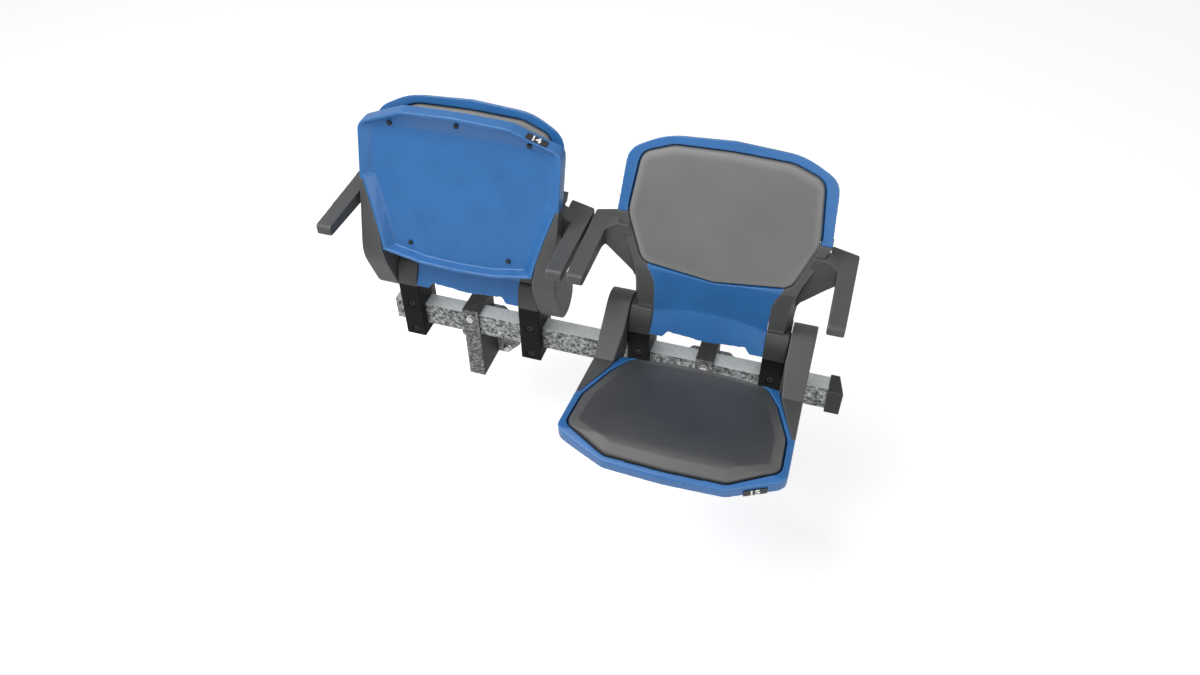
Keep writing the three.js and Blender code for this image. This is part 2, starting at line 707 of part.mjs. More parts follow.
// The outline of the shell's outer wall at a depth below the rim. The front wall leans in as it goes down.
function wallRing(outline, below) {
  const nose = seatFront + arm.reach;
  const scale = 1 + (seatWall.draft * below) / (seat.wall * nose);
  const inward = (y) => (y < -arm.reach ? (y + arm.reach) * scale - arm.reach : y);
  return outline.map(([x, y]) => [x, inward(y), rimAt(y) - below]);
}

// The hollow under the pan, whose walls slant inwards as they rise: its roof as shares of its mouth
const trayShares = { across: 0.9, along: 0.98 };

function trayHollow(outline) {
  const middle = -(seat.rear + seat.depth / 2);
  const mouth = grown(wallRing(outline, seat.wall).map(fromAbove), -pan.edge);
  const low = mouth.map(([x, y]) => [x, y, rimAt(y) - seat.wall - overrun]);
  const edge = mouth.map(([x, y]) => [x, y, rimAt(y) - seat.wall]);
  const roof = mouth.map(([x, y]) => [x * trayShares.across, middle + (y - middle) * trayShares.along]);
  const top = roof.map(([x, y]) => [x, y, panUnderAt(y)]);
  const over = roof.map(([x, y]) => [x, y, rimAt(y) + overrun]);
  return skin([low, edge, top, over], fromAbove).intersect(panSlab(-2 * seat.wall, 0));
}

function seatShellSolid() {
  const outline = rounded(bothHalves(seatOutlineHalf()));
  const ceiling = seat.rimRear + seat.rimRise + overrun;
  const side = prism("x", seatProfile(), -seat.halfWidth - overrun, seat.halfWidth + overrun);
  const block = skin([wallRing(outline, 2 * seat.wall), wallRing(outline, -seat.wall)], fromAbove);
  const well = grown(seatPadOutline, seatPad.groove);
  const filling = panSlab(pan.thickness, pan.frontDrop + overrun);
  const recess = prism("z", well, -overrun, ceiling).intersect(filling);
  let body = block.intersect(side).subtract(recess).subtract(trayHollow(outline));
  for (const point of screwPoints)
    body = body.subtract(screw("z", point, padScrew.radius + gap, -overrun, ceiling));
  return body;
}

// The board inside the seat pad, with the screws that hold it to the pan
function seatBoardSolid() {
  const outline = grown(seatPadOutline, -seatPad.inset);
  const under = pan.thickness + gap;
  const ceiling = seat.rimRear + seat.rimRise;
  let body = prism("z", outline, 0, ceiling).intersect(panSlab(under, under + seatPad.board));
  for (const [x, y] of screwPoints) {
    const seatZ = Math.min(...[-1, 1].map((side) => panUnderAt(y + side * padScrew.headRadius))) - gap;
    const tipZ = panTopAt(y) + seatPad.board / 2;
    const shank = screw("z", [x, y], padScrew.radius, seatZ - padScrew.head / 2, tipZ);
    body = body.add(shank).add(screw("z", [x, y], padScrew.headRadius, seatZ - padScrew.head, seatZ - gap));
  }
  return body;
}

function seatPadSolid() {
  const middle = -(seat.rear + seatPad.rear + padDepth / 2);
  const place = (a, b, height, lift) => {
    const base = panTopAt(b) + 2 * gap + seatPad.board;
    return [a, b, base + height * (rimAt(b) + seatCushion.proud - base) + lift];
  };
  const rings = cushionRings(seatPadOutline, middle, seatCushion.bevel, seatCushion.crown, place);
  const base = pan.thickness + 2 * gap + seatPad.board;
  return skin(rings, fromAbove).intersect(panSlab(base, 2 * seat.wall));
}

// A plate on the leaning wall of the front right-hand chamfer
function numberPlateSolid() {
  const chamfer = seatFrontShares.slice(1);
  const corners = chamfer.map(([w, d]) => [w * seat.halfWidth, -(seat.rear + d * seat.depth)]);
  const middleOf = (below) => {
    const [from, to] = wallRing(corners, below).map((point) => new THREE.Vector3(...point));
    return [from.clone().lerp(to, 1 / 2), to.sub(from).normalize()];
  };
  const level = numberPlate.drop + numberPlate.height / 2;
  const [middle, run] = middleOf(level);
  const down = middleOf(seat.wall)[0].sub(middle).normalize();
  const facing = new THREE.Vector3().crossVectors(down, run).normalize();
  const geometry = new THREE.BoxGeometry(numberPlate.width, numberPlate.height, numberPlate.thickness);
  const place = new THREE.Matrix4().makeBasis(run, down.clone().negate(), facing);
  place.setPosition(middle.addScaledVector(facing, gap + numberPlate.thickness / 2));
  return solidOf(geometry.applyMatrix4(place));
}

// A point on the hub's circle where a line from a point touches it; side picks which of the two
function tangentAngle([a, b], side) {
  const [dy, dz] = [a - pinPoint[0], b - pinPoint[1]];
  return Math.atan2(dz, dy) + side * Math.acos(arm.hubRadius / Math.hypot(dy, dz));
}

function armSolid() {
  const rear = -seat.rear;
  const kink = [-arm.kink, rimAt(-arm.kink) + arm.proud];
  const heel = [rear, rimAt(rear) - seat.wall];
  const upper = tangentAngle(kink, -1);
  const lower = tangentAngle(heel, 1);
  const around = THREE.MathUtils.euclideanModulo(upper - lower, 2 * Math.PI);
  const profile = rounded([
    ...arc(pinPoint, arm.hubRadius, upper, upper - around, roundSides),
    [...heel, arm.heel],
    [-arm.reach, rimAt(-arm.reach) - seat.wall],
    [-arm.reach, rimAt(-arm.reach)],
    kink,
  ]);
  const outer = seat.halfWidth;
  const hubEnd = pivot.back + arm.hubRadius + overrun;
  const plan = [[hubInner, hubEnd], ...joinLine, [outer, -arm.reach], [outer, hubEnd]];
  const side = prism("x", profile, hubInner, outer);
  let body = side.intersect(prism("z", plan, -seat.wall, pivot.rise + arm.hubRadius + overrun));
  const bore = pin.radius + 2 * gap + bush.wall;
  body = body.subtract(rod("x", pinPoint, bore, hubInner - overrun, uprightOuter + pin.reach + gap));
  const play = stop.play / stop.outer;
  const from = stopStart - stop.halfAngle - play;
  const to = stopStart + stop.halfAngle + travel + play;
  const slot = sector(stop.inner - gap, stop.outer + gap, from, to);
  return body.subtract(prism("x", slot, hubInner - overrun, uprightOuter + stop.reach + gap));
}

// The assembly

function mirrored(geometry) {
  const flipped = geometry.clone().applyMatrix4(new THREE.Matrix4().makeScale(-1, 1, 1));
  const places = flipped.attributes.position;
  for (let i = 0; i < places.count; i += 3) {
    const p = new THREE.Vector3().fromBufferAttribute(places, i);
    const q = new THREE.Vector3().fromBufferAttribute(places, i + 1);
    places.setXYZ(i, q.x, q.y, q.z);
    places.setXYZ(i + 1, p.x, p.y, p.z);
  }
  flipped.computeVertexNormals();
  return flipped;
}

const galvanised = { color: 0x9ea4a2, roughness: 0.5, metalness: 0.8 };
const darkSteel = { color: 0x323432, roughness: 0.55, metalness: 0.4 };
const zinc = { color: 0xb9bcb8, roughness: 0.35, metalness: 0.9 };
const black = { color: 0x3a3a3a, roughness: 0.6, metalness: 0 };
const blue = { color: 0x2a5fae, roughness: 0.45, metalness: 0 };
const grey = { color: 0x74757a, roughness: 0.85, metalness: 0 };
const darkGrey = { color: 0x45474c, roughness: 0.7, metalness: 0 };
const boardBrown = { color: 0x8a6f4d, roughness: 0.8, metalness: 0 };
const acetal = { color: 0xd8d8d0, roughness: 0.4, metalness: 0 };
const label = { color: 0x4c4c50, roughness: 0.5, metalness: 0 };

const section = new THREE.Group();
section.position.set(0, -riserY, beam.rise);

function add(parent, name, geometry, finish) {
  const mesh = new THREE.Mesh(geometry, new THREE.MeshStandardMaterial(finish));
  mesh.name = name;
  parent.add(mesh);
  return mesh;
}

// The same right-hand solid on both sides of a seat
function addPair(parent, name, geometry, finish) {
  add(parent, `${name}_right`, geometry, finish);
  add(parent, `${name}_left`, mirrored(geometry), finish);
}

function addBeamAndBrackets() {
  add(section, "beam", geometryOf(beamSolid()), galvanised);
  const cap = add(section, "beam_end_cap", geometryOf(endCapSolid()), black);
  cap.position.x = beamRight;
  ["left", "right"].forEach((side, i) => {
    const x = bracketX[i];
    const boltPlace = [x, 0, -bolt.drop];
    add(section, `wall_bracket_${side}`, geometryOf(bracketSolid()), darkSteel).position.x = x;
    add(section, `wall_plate_${side}`, geometryOf(plateSolid()), galvanised).position.set(x, 0, -beam.rise);
    add(section, `bracket_bolt_${side}`, geometryOf(bracketBoltSolid()), zinc).position.set(...boltPlace);
    add(section, `bracket_nut_${side}`, geometryOf(nutSolid()), zinc).position.set(...boltPlace);
  });
}

function addFixedPieces(parent, number) {
  addPair(parent, `upright_${number}`, geometryOf(uprightSolid()), black);
  addPair(parent, `rear_clamp_${number}`, geometryOf(rearClampSolid()), black);
  addPair(parent, `clamp_bolt_upper_${number}`, geometryOf(clampBoltSolid(clampBoltZ[0])), zinc);
  addPair(parent, `clamp_bolt_lower_${number}`, geometryOf(clampBoltSolid(clampBoltZ[1])), zinc);
  addPair(parent, `pivot_pin_${number}`, geometryOf(pinSolid()), zinc);
  addPair(parent, `side_frame_${number}`, geometryOf(frameSolid(0)), black);
  addPair(parent, `armrest_${number}`, geometryOf(armrestSolid()), black);
  add(parent, `back_shell_${number}`, geometryOf(backShellSolid()), blue);
  add(parent, `back_pad_board_${number}`, geometryOf(backBoardSolid()), boardBrown);
  add(parent, `back_pad_${number}`, geometryOf(backPadSolid()), grey);
}

function addMovingPieces(parent, number) {
  addPair(parent, `hinge_arm_${number}`, geometryOf(armSolid()), black);
  addPair(parent, `pivot_bush_${number}`, geometryOf(bushSolid()), acetal);
  add(parent, `seat_shell_${number}`, geometryOf(seatShellSolid()), blue);
  add(parent, `seat_pad_board_${number}`, geometryOf(seatBoardSolid()), boardBrown);
  add(parent, `seat_pad_${number}`, geometryOf(seatPadSolid()), darkGrey);
  add(parent, `number_plate_${number}`, geometryOf(numberPlateSolid()), label);
}

// A seat with its moving pieces turned about the pins by the angle that it is tipped up
function addSeat(x, number, tipped) {
  const fixed = new THREE.Group();
  fixed.position.x = x;
  const hinge = new THREE.Group();
  hinge.position.set(0, ...pinPoint);
  hinge.rotation.x = -tipped;
  const moving = new THREE.Group();
  moving.position.set(0, -pinPoint[0], -pinPoint[1]);
  hinge.add(moving);
  fixed.add(hinge);
  section.add(fixed);
  addFixedPieces(fixed, number);
  addMovingPieces(moving, number);
}

addBeamAndBrackets();
addSeat(seatX[0], 1, travel);
addSeat(seatX[1], 2, 0);

const stadiumSeats = new THREE.Group();
stadiumSeats.add(section);

export default stadiumSeats;
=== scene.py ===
import bpy
import numpy as np
from math import radians
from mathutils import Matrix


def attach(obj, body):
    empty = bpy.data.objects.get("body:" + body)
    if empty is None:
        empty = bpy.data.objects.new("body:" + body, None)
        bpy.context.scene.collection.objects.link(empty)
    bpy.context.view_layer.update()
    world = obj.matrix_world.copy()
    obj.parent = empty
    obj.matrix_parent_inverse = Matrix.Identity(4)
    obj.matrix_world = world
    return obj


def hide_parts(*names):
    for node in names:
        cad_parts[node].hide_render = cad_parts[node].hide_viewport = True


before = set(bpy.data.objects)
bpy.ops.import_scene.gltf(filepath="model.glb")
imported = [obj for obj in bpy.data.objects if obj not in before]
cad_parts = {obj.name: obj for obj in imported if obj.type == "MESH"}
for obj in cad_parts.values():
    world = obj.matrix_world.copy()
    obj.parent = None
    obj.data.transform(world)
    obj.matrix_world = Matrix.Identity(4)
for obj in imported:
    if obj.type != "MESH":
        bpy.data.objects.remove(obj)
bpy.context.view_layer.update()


# The beam: 60 x 40 mm hollow steel section, cut to length and hot-dip galvanised. Its corners are rolled
# round, and the zinc on its faces has set in a mottled grey spangle.

beam_corner = 0.0022


def add_node(tree, kind, settings=None, inputs=None):
    """A shader node with its settings and the values of its inputs, or the sockets that feed them."""
    made = tree.nodes.new(kind)
    for name, value in (settings or {}).items():
        setattr(made, name, value)
    for name, value in (inputs or {}).items():
        if isinstance(value, bpy.types.NodeSocket):
            tree.links.new(value, made.inputs[name])
        else:
            made.inputs[name].default_value = value
    return made


def shade_ramp(tree, factor, stops):
    """A colour ramp through stops of (place, (r, g, b))."""
    ramp = add_node(tree, "ShaderNodeValToRGB", inputs={"Fac": factor})
    elements = ramp.color_ramp.elements
    for _ in stops[2:]:
        elements.new(0.5)
    for element, (place, colour) in zip(elements, stops):
        element.position = place
        element.color = (*colour, 1)
    return ramp.outputs["Color"]


def new_group(name, inputs, outputs):
    """An empty shader group with float inputs of given defaults and float outputs."""
    tree = bpy.data.node_groups.new(name, "ShaderNodeTree")
    for socket, value in inputs.items():
        tree.interface.new_socket(socket, in_out="INPUT", socket_type="NodeSocketFloat").default_value = value
    for socket in outputs:
        tree.interface.new_socket(socket, in_out="OUTPUT", socket_type="NodeSocketFloat")
    return tree, add_node(tree, "NodeGroupInput").outputs, add_node(tree, "NodeGroupOutput")


def spangle_group():
    """Zinc spangle: the random value of each crystal, one Voronoi cell, mixed with a cloudy noise, so that
    crystals of like shade run together in blotches."""
    tree, given, out = new_group("zinc_spangle", {"Size": 0.006, "Blotch": 0.5}, ["Shade", "Height"])
    place = add_node(tree, "ShaderNodeTexCoord").outputs["Object"]
    density = add_node(tree, "ShaderNodeMath", {"operation": "DIVIDE"}, {0: 1.0, 1: given["Size"]}).outputs[0]
    warp = add_node(tree, "ShaderNodeTexNoise", inputs={"Vector": place, "Scale": 260.0, "Detail": 3.0})
    bend = add_node(tree, "ShaderNodeVectorMath", {"operation": "SCALE"},
                    {0: warp.outputs["Color"], "Scale": 0.004}).outputs[0]
    bent = add_node(tree, "ShaderNodeVectorMath", {"operation": "ADD"}, {0: place, 1: bend}).outputs[0]
    cells = add_node(tree, "ShaderNodeTexVoronoi", inputs={"Vector": bent, "Scale": density, "Randomness": 1.0})
    cell = add_node(tree, "ShaderNodeSeparateColor", inputs={"Color": cells.outputs["Color"]}).outputs[0]
    cloud = add_node(tree, "ShaderNodeTexNoise",
                     inputs={"Vector": place, "Scale": 130.0, "Detail": 5.0, "Roughness": 0.7}).outputs["Fac"]
    stretched = add_node(tree, "ShaderNodeMapRange",
                         inputs={"Value": cloud, "From Min": 0.36, "From Max": 0.62}).outputs[0]
    shade = add_node(tree, "ShaderNodeMix", {"data_type": "FLOAT"},
                     {"Factor": given["Blotch"], "A": cell, "B": stretched}).outputs[0]
    tree.links.new(shade, out.inputs["Shade"])
    tree.links.new(add_node(tree, "ShaderNodeMath", {"operation": "ADD"},
                            {0: cell, 1: cloud}).outputs[0], out.inputs["Height"])
    return tree


spangle = spangle_group()


def new_material(name):
    """A material with an empty Principled shader, its tree and that shader."""
    material = bpy.data.materials.new(name)
    material.use_nodes = True
    return material, material.node_tree, material.node_tree.nodes["Principled BSDF"]


def bump_into(tree, shader, height, strength, distance):
    """Feeds a height to the shader's normal through one Bump node."""
    bump = add_node(tree, "ShaderNodeBump", inputs={"Strength": strength, "Distance": distance, "Height": height})
    tree.links.new(bump.outputs["Normal"], shader.inputs["Normal"])


def galvanised_finish(name, stops, painted_top_light_stops, size):
    """Hot-dip zinc: the spangle's shade goes through a ramp of greys, and a painted light makes faces that
    look up paler and plainer; dark crystals are rougher."""
    material, tree, shader = new_material(name)
    zinc = add_node(tree, "ShaderNodeGroup", {"node_tree": spangle}, {"Size": size, "Blotch": 0.7})
    facing = add_node(tree, "ShaderNodeNewGeometry").outputs["Normal"]
    upward = add_node(tree, "ShaderNodeSeparateXYZ", inputs={"Vector": facing}).outputs["Z"]
    # Painted light: faces that look up take the paler, plainer ramp in place of the light from above.
    painted_top_light = add_node(tree, "ShaderNodeMapRange",
                   inputs={"Value": upward, "From Min": 0.3, "From Max": 0.8}).outputs[0]
    colour = add_node(tree, "ShaderNodeMix", {"data_type": "RGBA"}, {"Factor": painted_top_light})
    tree.links.new(shade_ramp(tree, zinc.outputs["Shade"], stops), colour.inputs["A"])
    tree.links.new(shade_ramp(tree, zinc.outputs["Shade"], painted_top_light_stops), colour.inputs["B"])
    tree.links.new(colour.outputs["Result"], shader.inputs["Base Color"])
    rough = add_node(tree, "ShaderNodeMapRange",
                     inputs={"Value": zinc.outputs["Shade"], "To Min": 0.62, "To Max": 0.42}).outputs[0]
    tree.links.new(rough, shader.inputs["Roughness"])
    shader.inputs["Metallic"].default_value = 0.45
    bump_into(tree, shader, zinc.outputs["Height"], 0.25, 0.0003)
    return material


# The beam's second ramp is the painted top light on its upward faces.
beam_zinc = galvanised_finish("beam_zinc", [
    (0.0, (0.015, 0.017, 0.016)), (0.3, (0.075, 0.08, 0.078)), (0.55, (0.25, 0.26, 0.255)),
    (1.0, (0.6, 0.62, 0.615)),
], [(0.0, (0.58, 0.62, 0.615)), (1.0, (0.72, 0.76, 0.755))], 0.0028)


def dress(node, material):
    """Gives a CAD node its finish in place of the plain one."""
    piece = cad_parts[node]
    piece.data.materials.clear()
    piece.data.materials.append(material)
    return piece


def ease_edges(piece, width):
    """Rounds a CAD node's sharp edges: its loose triangles are merged, and each edge over 40 degrees gets a
    round of three steps."""
    weld = piece.modifiers.new("merge", "WELD")
    weld.merge_threshold = 1e-6
    flat = piece.modifiers.new("flats", "DECIMATE")
    flat.decimate_type = "DISSOLVE"
    flat.angle_limit = radians(0.5)
    round_edge = piece.modifiers.new("round", "BEVEL")
    round_edge.width = width
    round_edge.segments = 3
    round_edge.limit_method = "ANGLE"
    round_edge.angle_limit = radians(40)
    round_edge.harden_normals = False
    normals = piece.modifiers.new("shading", "WEIGHTED_NORMAL")
    normals.keep_sharp = False
    piece.data.shade_smooth()


ease_edges(dress("beam", beam_zinc), beam_corner)


# The wall brackets and plates: folded 5 mm sheet that saddles the beam, coated dark on its top and cheeks
# and left galvanised on its front, and a galvanised plate with cut corners that is anchored to the riser.

bracket_edge = 0.0012


def bracket_finish():
    """Dark coat over galvanised sheet: faces that look forward, along -Y, show the zinc and the rest show
    the coat, which is brushed thin by fine streaks."""
    material, tree, shader = new_material("bracket_coat")
    facing = add_node(tree, "ShaderNodeNewGeometry").outputs["Normal"]
    along = add_node(tree, "ShaderNodeSeparateXYZ", inputs={"Vector": facing}).outputs["Y"]
    front = add_node(tree, "ShaderNodeMapRange",
                     inputs={"Value": along, "From Min": -0.6, "From Max": -0.8}).outputs[0]
    zinc = add_node(tree, "ShaderNodeGroup", {"node_tree": spangle}, {"Size": 0.004, "Blotch": 0.7})
    bare = shade_ramp(tree, zinc.outputs["Shade"], [
        (0.0, (0.025, 0.025, 0.025)), (0.35, (0.07, 0.07, 0.07)), (0.6, (0.17, 0.174, 0.17)),
        (1.0, (0.36, 0.37, 0.36))])
    place = add_node(tree, "ShaderNodeTexCoord").outputs["Object"]
    cloud = add_node(tree, "ShaderNodeTexNoise", inputs={"Vector": place, "Scale": 70.0, "Detail": 6.0})
    coat = shade_ramp(tree, cloud.outputs["Fac"], [(0.3, (0.02, 0.022, 0.02)), (0.7, (0.04, 0.043, 0.04))])
    colour = add_node(tree, "ShaderNodeMix", {"data_type": "RGBA"}, {"Factor": front})
    tree.links.new(coat, colour.inputs["A"])
    tree.links.new(bare, colour.inputs["B"])
    tree.links.new(colour.outputs["Result"], shader.inputs["Base Color"])
    shader.inputs["Roughness"].default_value = 0.5
    shader.inputs["Metallic"].default_value = 0.3
    bump_into(tree, shader, zinc.outputs["Height"], 0.2, 0.0003)
    return material


bracket_coat = bracket_finish()
plate_greys = [(0.0, (0.07, 0.075, 0.07)), (0.35, (0.16, 0.165, 0.16)), (1.0, (0.42, 0.43, 0.42))]
plate_zinc = galvanised_finish("plate_zinc", plate_greys, plate_greys, 0.005)
for side in ("left", "right"):
    ease_edges(dress(f"wall_bracket_{side}", bracket_coat), bracket_edge)
    ease_edges(dress(f"wall_plate_{side}", plate_zinc), bracket_edge)


# The bracket bolts and nuts: bright zinc-plated flange bolts through the beam, one to each bracket. The
# plating is a little cloudy and worn bright on the hexagon's corners.

bolt_edge = 0.0006


def plated_finish():
    """Bright zinc plate: pale grey metal with cloudy roughness."""
    material, tree, shader = new_material("zinc_plate")
    place = add_node(tree, "ShaderNodeTexCoord").outputs["Object"]
    cloud = add_node(tree, "ShaderNodeTexNoise", inputs={"Vector": place, "Scale": 420.0, "Detail": 4.0})
    tone = shade_ramp(tree, cloud.outputs["Fac"], [(0.3, (0.44, 0.44, 0.42)), (0.7, (0.78, 0.78, 0.76))])
    tree.links.new(tone, shader.inputs["Base Color"])
    rough = add_node(tree, "ShaderNodeMapRange",
                     inputs={"Value": cloud.outputs["Fac"], "To Min": 0.22, "To Max": 0.45}).outputs[0]
    tree.links.new(rough, shader.inputs["Roughness"])
    shader.inputs["Metallic"].default_value = 0.9
    bump_into(tree, shader, cloud.outputs["Fac"], 0.15, 0.0002)
    return material


zinc_plate = plated_finish()
for side in ("left", "right"):
    ease_edges(dress(f"bracket_bolt_{side}", zinc_plate), bolt_edge)
    ease_edges(dress(f"bracket_nut_{side}", zinc_plate), bolt_edge)


# The wall anchors: a zinc-plated hexagon head on a washer over each of the four holes in a wall plate. They
# are small fasteners that the solids leave to this script.

anchor_across, anchor_up = 0.092, 0.116
hexagon_half, washer_radius = 0.0085, 0.012
bracket_places = (-0.283, 0.283)
plate_front = -0.008


def closed_rings(name, rings, material):
    """A closed mesh from rings of equally many points, an (R, N, 3) array, whose first and last rings are
    each closed by a fan to the ring's middle point."""
    count, sides = rings.shape[:2]
    points = np.concatenate([rings.reshape(-1, 3), rings[0].mean(0)[None], rings[-1].mean(0)[None]])
    ring, step = np.meshgrid(np.arange(count - 1), np.arange(sides), indexing="ij")
    after = (step + 1) % sides
    quads = np.stack([ring * sides + step, ring * sides + after,
                      (ring + 1) * sides + after, (ring + 1) * sides + step], axis=-1).reshape(-1, 4)
    turn = np.arange(sides)
    turned = (turn + 1) % sides
    low = np.stack([turned, turn, np.full(sides, count * sides)], axis=-1)
    last = (count - 1) * sides
    high = np.stack([last + turn, last + turned, np.full(sides, count * sides + 1)], axis=-1)
    mesh = bpy.data.meshes.new(name)
    mesh.from_pydata(points.tolist(), [], quads.tolist() + low.tolist() + high.tolist())
    mesh.materials.append(material)
    mesh.shade_smooth()
    piece = bpy.data.objects.new(name, mesh)
    bpy.context.scene.collection.objects.link(piece)
    return piece


def join_meshes(name, pieces):
    """One object that takes the meshes of several."""
    with bpy.context.temp_override(active_object=pieces[0], selected_editable_objects=pieces):
        bpy.ops.object.join()
    pieces[0].name = name
    return pieces[0]


def anchor_head(name, x, z):
    """A washer and a hexagon head in one: the radius at angle a is that of a circle on the washer's rings,
    and of a hexagon, flat over the cosine of the angle from its side's middle, on the head's rings."""
    angle = np.linspace(0, 2 * np.pi, 48, endpoint=False)
    fold = (angle % (np.pi / 3)) - np.pi / 6
    hexagon = hexagon_half / np.cos(fold)
    circle = np.full_like(angle, washer_radius)
    depths = [0.0002, 0.0002, 0.0018, 0.0024, 0.0024, 0.0084, 0.0094, 0.0098]
    radii = [circle * 0.2, circle, circle, circle * 0.97, hexagon, hexagon, hexagon * 0.93, hexagon * 0.6]
    radii = np.array(radii)
    depths = plate_front - np.array(depths)[:, None] + 0 * angle
    rings = np.stack([x + radii * np.cos(angle), depths, z + radii * np.sin(angle)], axis=-1)
    return closed_rings(name, rings, zinc_plate)


anchors = join_meshes("wall_anchors", [
    anchor_head(f"anchor_{i}", x + a * anchor_across / 2, b * anchor_up / 2)
    for i, (x, a, b) in enumerate((x, a, b) for x in bracket_places for a in (-1, 1) for b in (-1, 1))])
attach(anchors, "section")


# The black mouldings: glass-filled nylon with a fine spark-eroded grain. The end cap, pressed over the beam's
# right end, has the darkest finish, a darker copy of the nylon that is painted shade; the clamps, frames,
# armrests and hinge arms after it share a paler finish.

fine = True


def settle(piece):
    """Turns a piece's modifiers into its mesh."""
    now = bpy.context.evaluated_depsgraph_get()
    mesh = bpy.data.meshes.new_from_object(piece.evaluated_get(now), preserve_all_data_layers=True, depsgraph=now)
    piece.modifiers.clear()
    piece.data = mesh


def moulded(node, body, voxel, rounds, finish, kept=1.0, reach=0.0003):
    """A moulded piece that stands for a CAD node: the solid's triangles merged, rebuilt on a grid of cells,
    its corners eased by moving each point towards its neighbours a number of times, its edges marked, and a
    share of its triangles kept."""
    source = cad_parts[node]
    piece = bpy.data.objects.new(f"{node}_moulding", source.data.copy())
    bpy.context.scene.collection.objects.link(piece)
    piece.modifiers.new("merge", "WELD").merge_threshold = 1e-6
    cells = piece.modifiers.new("cells", "REMESH")
    cells.mode = "VOXEL"
    cells.voxel_size = voxel if fine else voxel * 1.6
    ease = piece.modifiers.new("ease", "SMOOTH")
    ease.factor = 0.5
    ease.iterations = rounds if fine else max(rounds // 2, 1)
    settle(piece)
    mark_edges(piece, reach)
    if fine and kept < 1:
        piece.modifiers.new("fewer", "DECIMATE").ratio = kept
        settle(piece)
    mesh = piece.data
    mesh.name = piece.name
    mesh.materials.clear()
    mesh.materials.append(finish)
    mesh.shade_smooth()
    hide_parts(node)
    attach(piece, body)
    return piece


def points_of(piece):
    """A piece's points as an (N, 3) array."""
    flat = np.empty(3 * len(piece.data.vertices), dtype=np.float32)
    piece.data.vertices.foreach_get("co", flat)
    return flat.reshape(-1, 3)


def set_points(piece, points):
    """Puts an (N, 3) array back as a piece's points."""
    piece.data.vertices.foreach_set("co", points.astype(np.float32).ravel())
    piece.data.update()


def mark_edges(piece, reach):
    """Stores in the attribute edge how far each point stands out from the mean of its neighbours along its
    normal, as a share of reach: near 1 on a convex edge, 0 on a flat, near -1 in a corner."""
    mesh = piece.data
    points = points_of(piece)
    normals = np.empty(3 * len(mesh.vertices), dtype=np.float32)
    mesh.vertices.foreach_get("normal", normals)
    pairs = np.empty(2 * len(mesh.edges), dtype=np.int32)
    mesh.edges.foreach_get("vertices", pairs)
    a, b = pairs.reshape(-1, 2).T
    count = np.bincount(a, minlength=len(points)) + np.bincount(b, minlength=len(points))
    total = np.stack([np.bincount(a, points[b, k], len(points)) + np.bincount(b, points[a, k], len(points))
                      for k in range(3)], axis=-1)
    out = ((points - total / count[:, None]) * normals.reshape(-1, 3)).sum(-1) / reach
    for _ in range(2):
        out = (out + (np.bincount(a, out[b], len(points)) + np.bincount(b, out[a], len(points))) / count) / 2
    mesh.attributes.new("edge", "FLOAT", "POINT").data.foreach_set("value", np.clip(out, -1, 1).astype(np.float32))


def grain_group():
    """Spark-eroded grain: a fine noise for the pits with a wider one that changes their depth."""
    tree, given, out = new_group("moulded_grain", {"Size": 0.0009}, ["Height", "Cloud"])
    place = add_node(tree, "ShaderNodeTexCoord").outputs["Object"]
    density = add_node(tree, "ShaderNodeMath", {"operation": "DIVIDE"}, {0: 1.0, 1: given["Size"]}).outputs[0]
    pits = add_node(tree, "ShaderNodeTexNoise",
                    inputs={"Vector": place, "Scale": density, "Detail": 2.0}).outputs["Fac"]
    cloud = add_node(tree, "ShaderNodeTexNoise",
                     inputs={"Vector": place, "Scale": 14.0, "Detail": 4.0, "Roughness": 0.6}).outputs["Fac"]
    tree.links.new(pits, out.inputs["Height"])
    tree.links.new(cloud, out.inputs["Cloud"])
    return tree


grain = grain_group()


def black_steel_finish():
    """Blackened steel, a little bright where it is worn."""
    material, tree, shader = new_material("black_steel")
    place = add_node(tree, "ShaderNodeTexCoord").outputs["Object"]
    cloud = add_node(tree, "ShaderNodeTexNoise", inputs={"Vector": place, "Scale": 900.0, "Detail": 3.0})
    tone = shade_ramp(tree, cloud.outputs["Fac"], [(0.3, (0.012, 0.012, 0.014)), (0.7, (0.06, 0.06, 0.065))])
    tree.links.new(tone, shader.inputs["Base Color"])
    shader.inputs["Metallic"].default_value = 0.7
    shader.inputs["Roughness"].default_value = 0.3
    bump_into(tree, shader, cloud.outputs["Fac"], 0.2, 0.0002)
    return material


black_steel = black_steel_finish()


def cloudy_roughness(tree, shader, surface, low, high):
    """Feeds the shader's roughness from the cloud of a surface group, between two values."""
    rough = add_node(tree, "ShaderNodeMapRange", inputs={
        "Value": surface.outputs["Cloud"], "From Min": 0.3, "From Max": 0.7, "To Min": low, "To Max": high})
    tree.links.new(rough.outputs[0], shader.inputs["Roughness"])


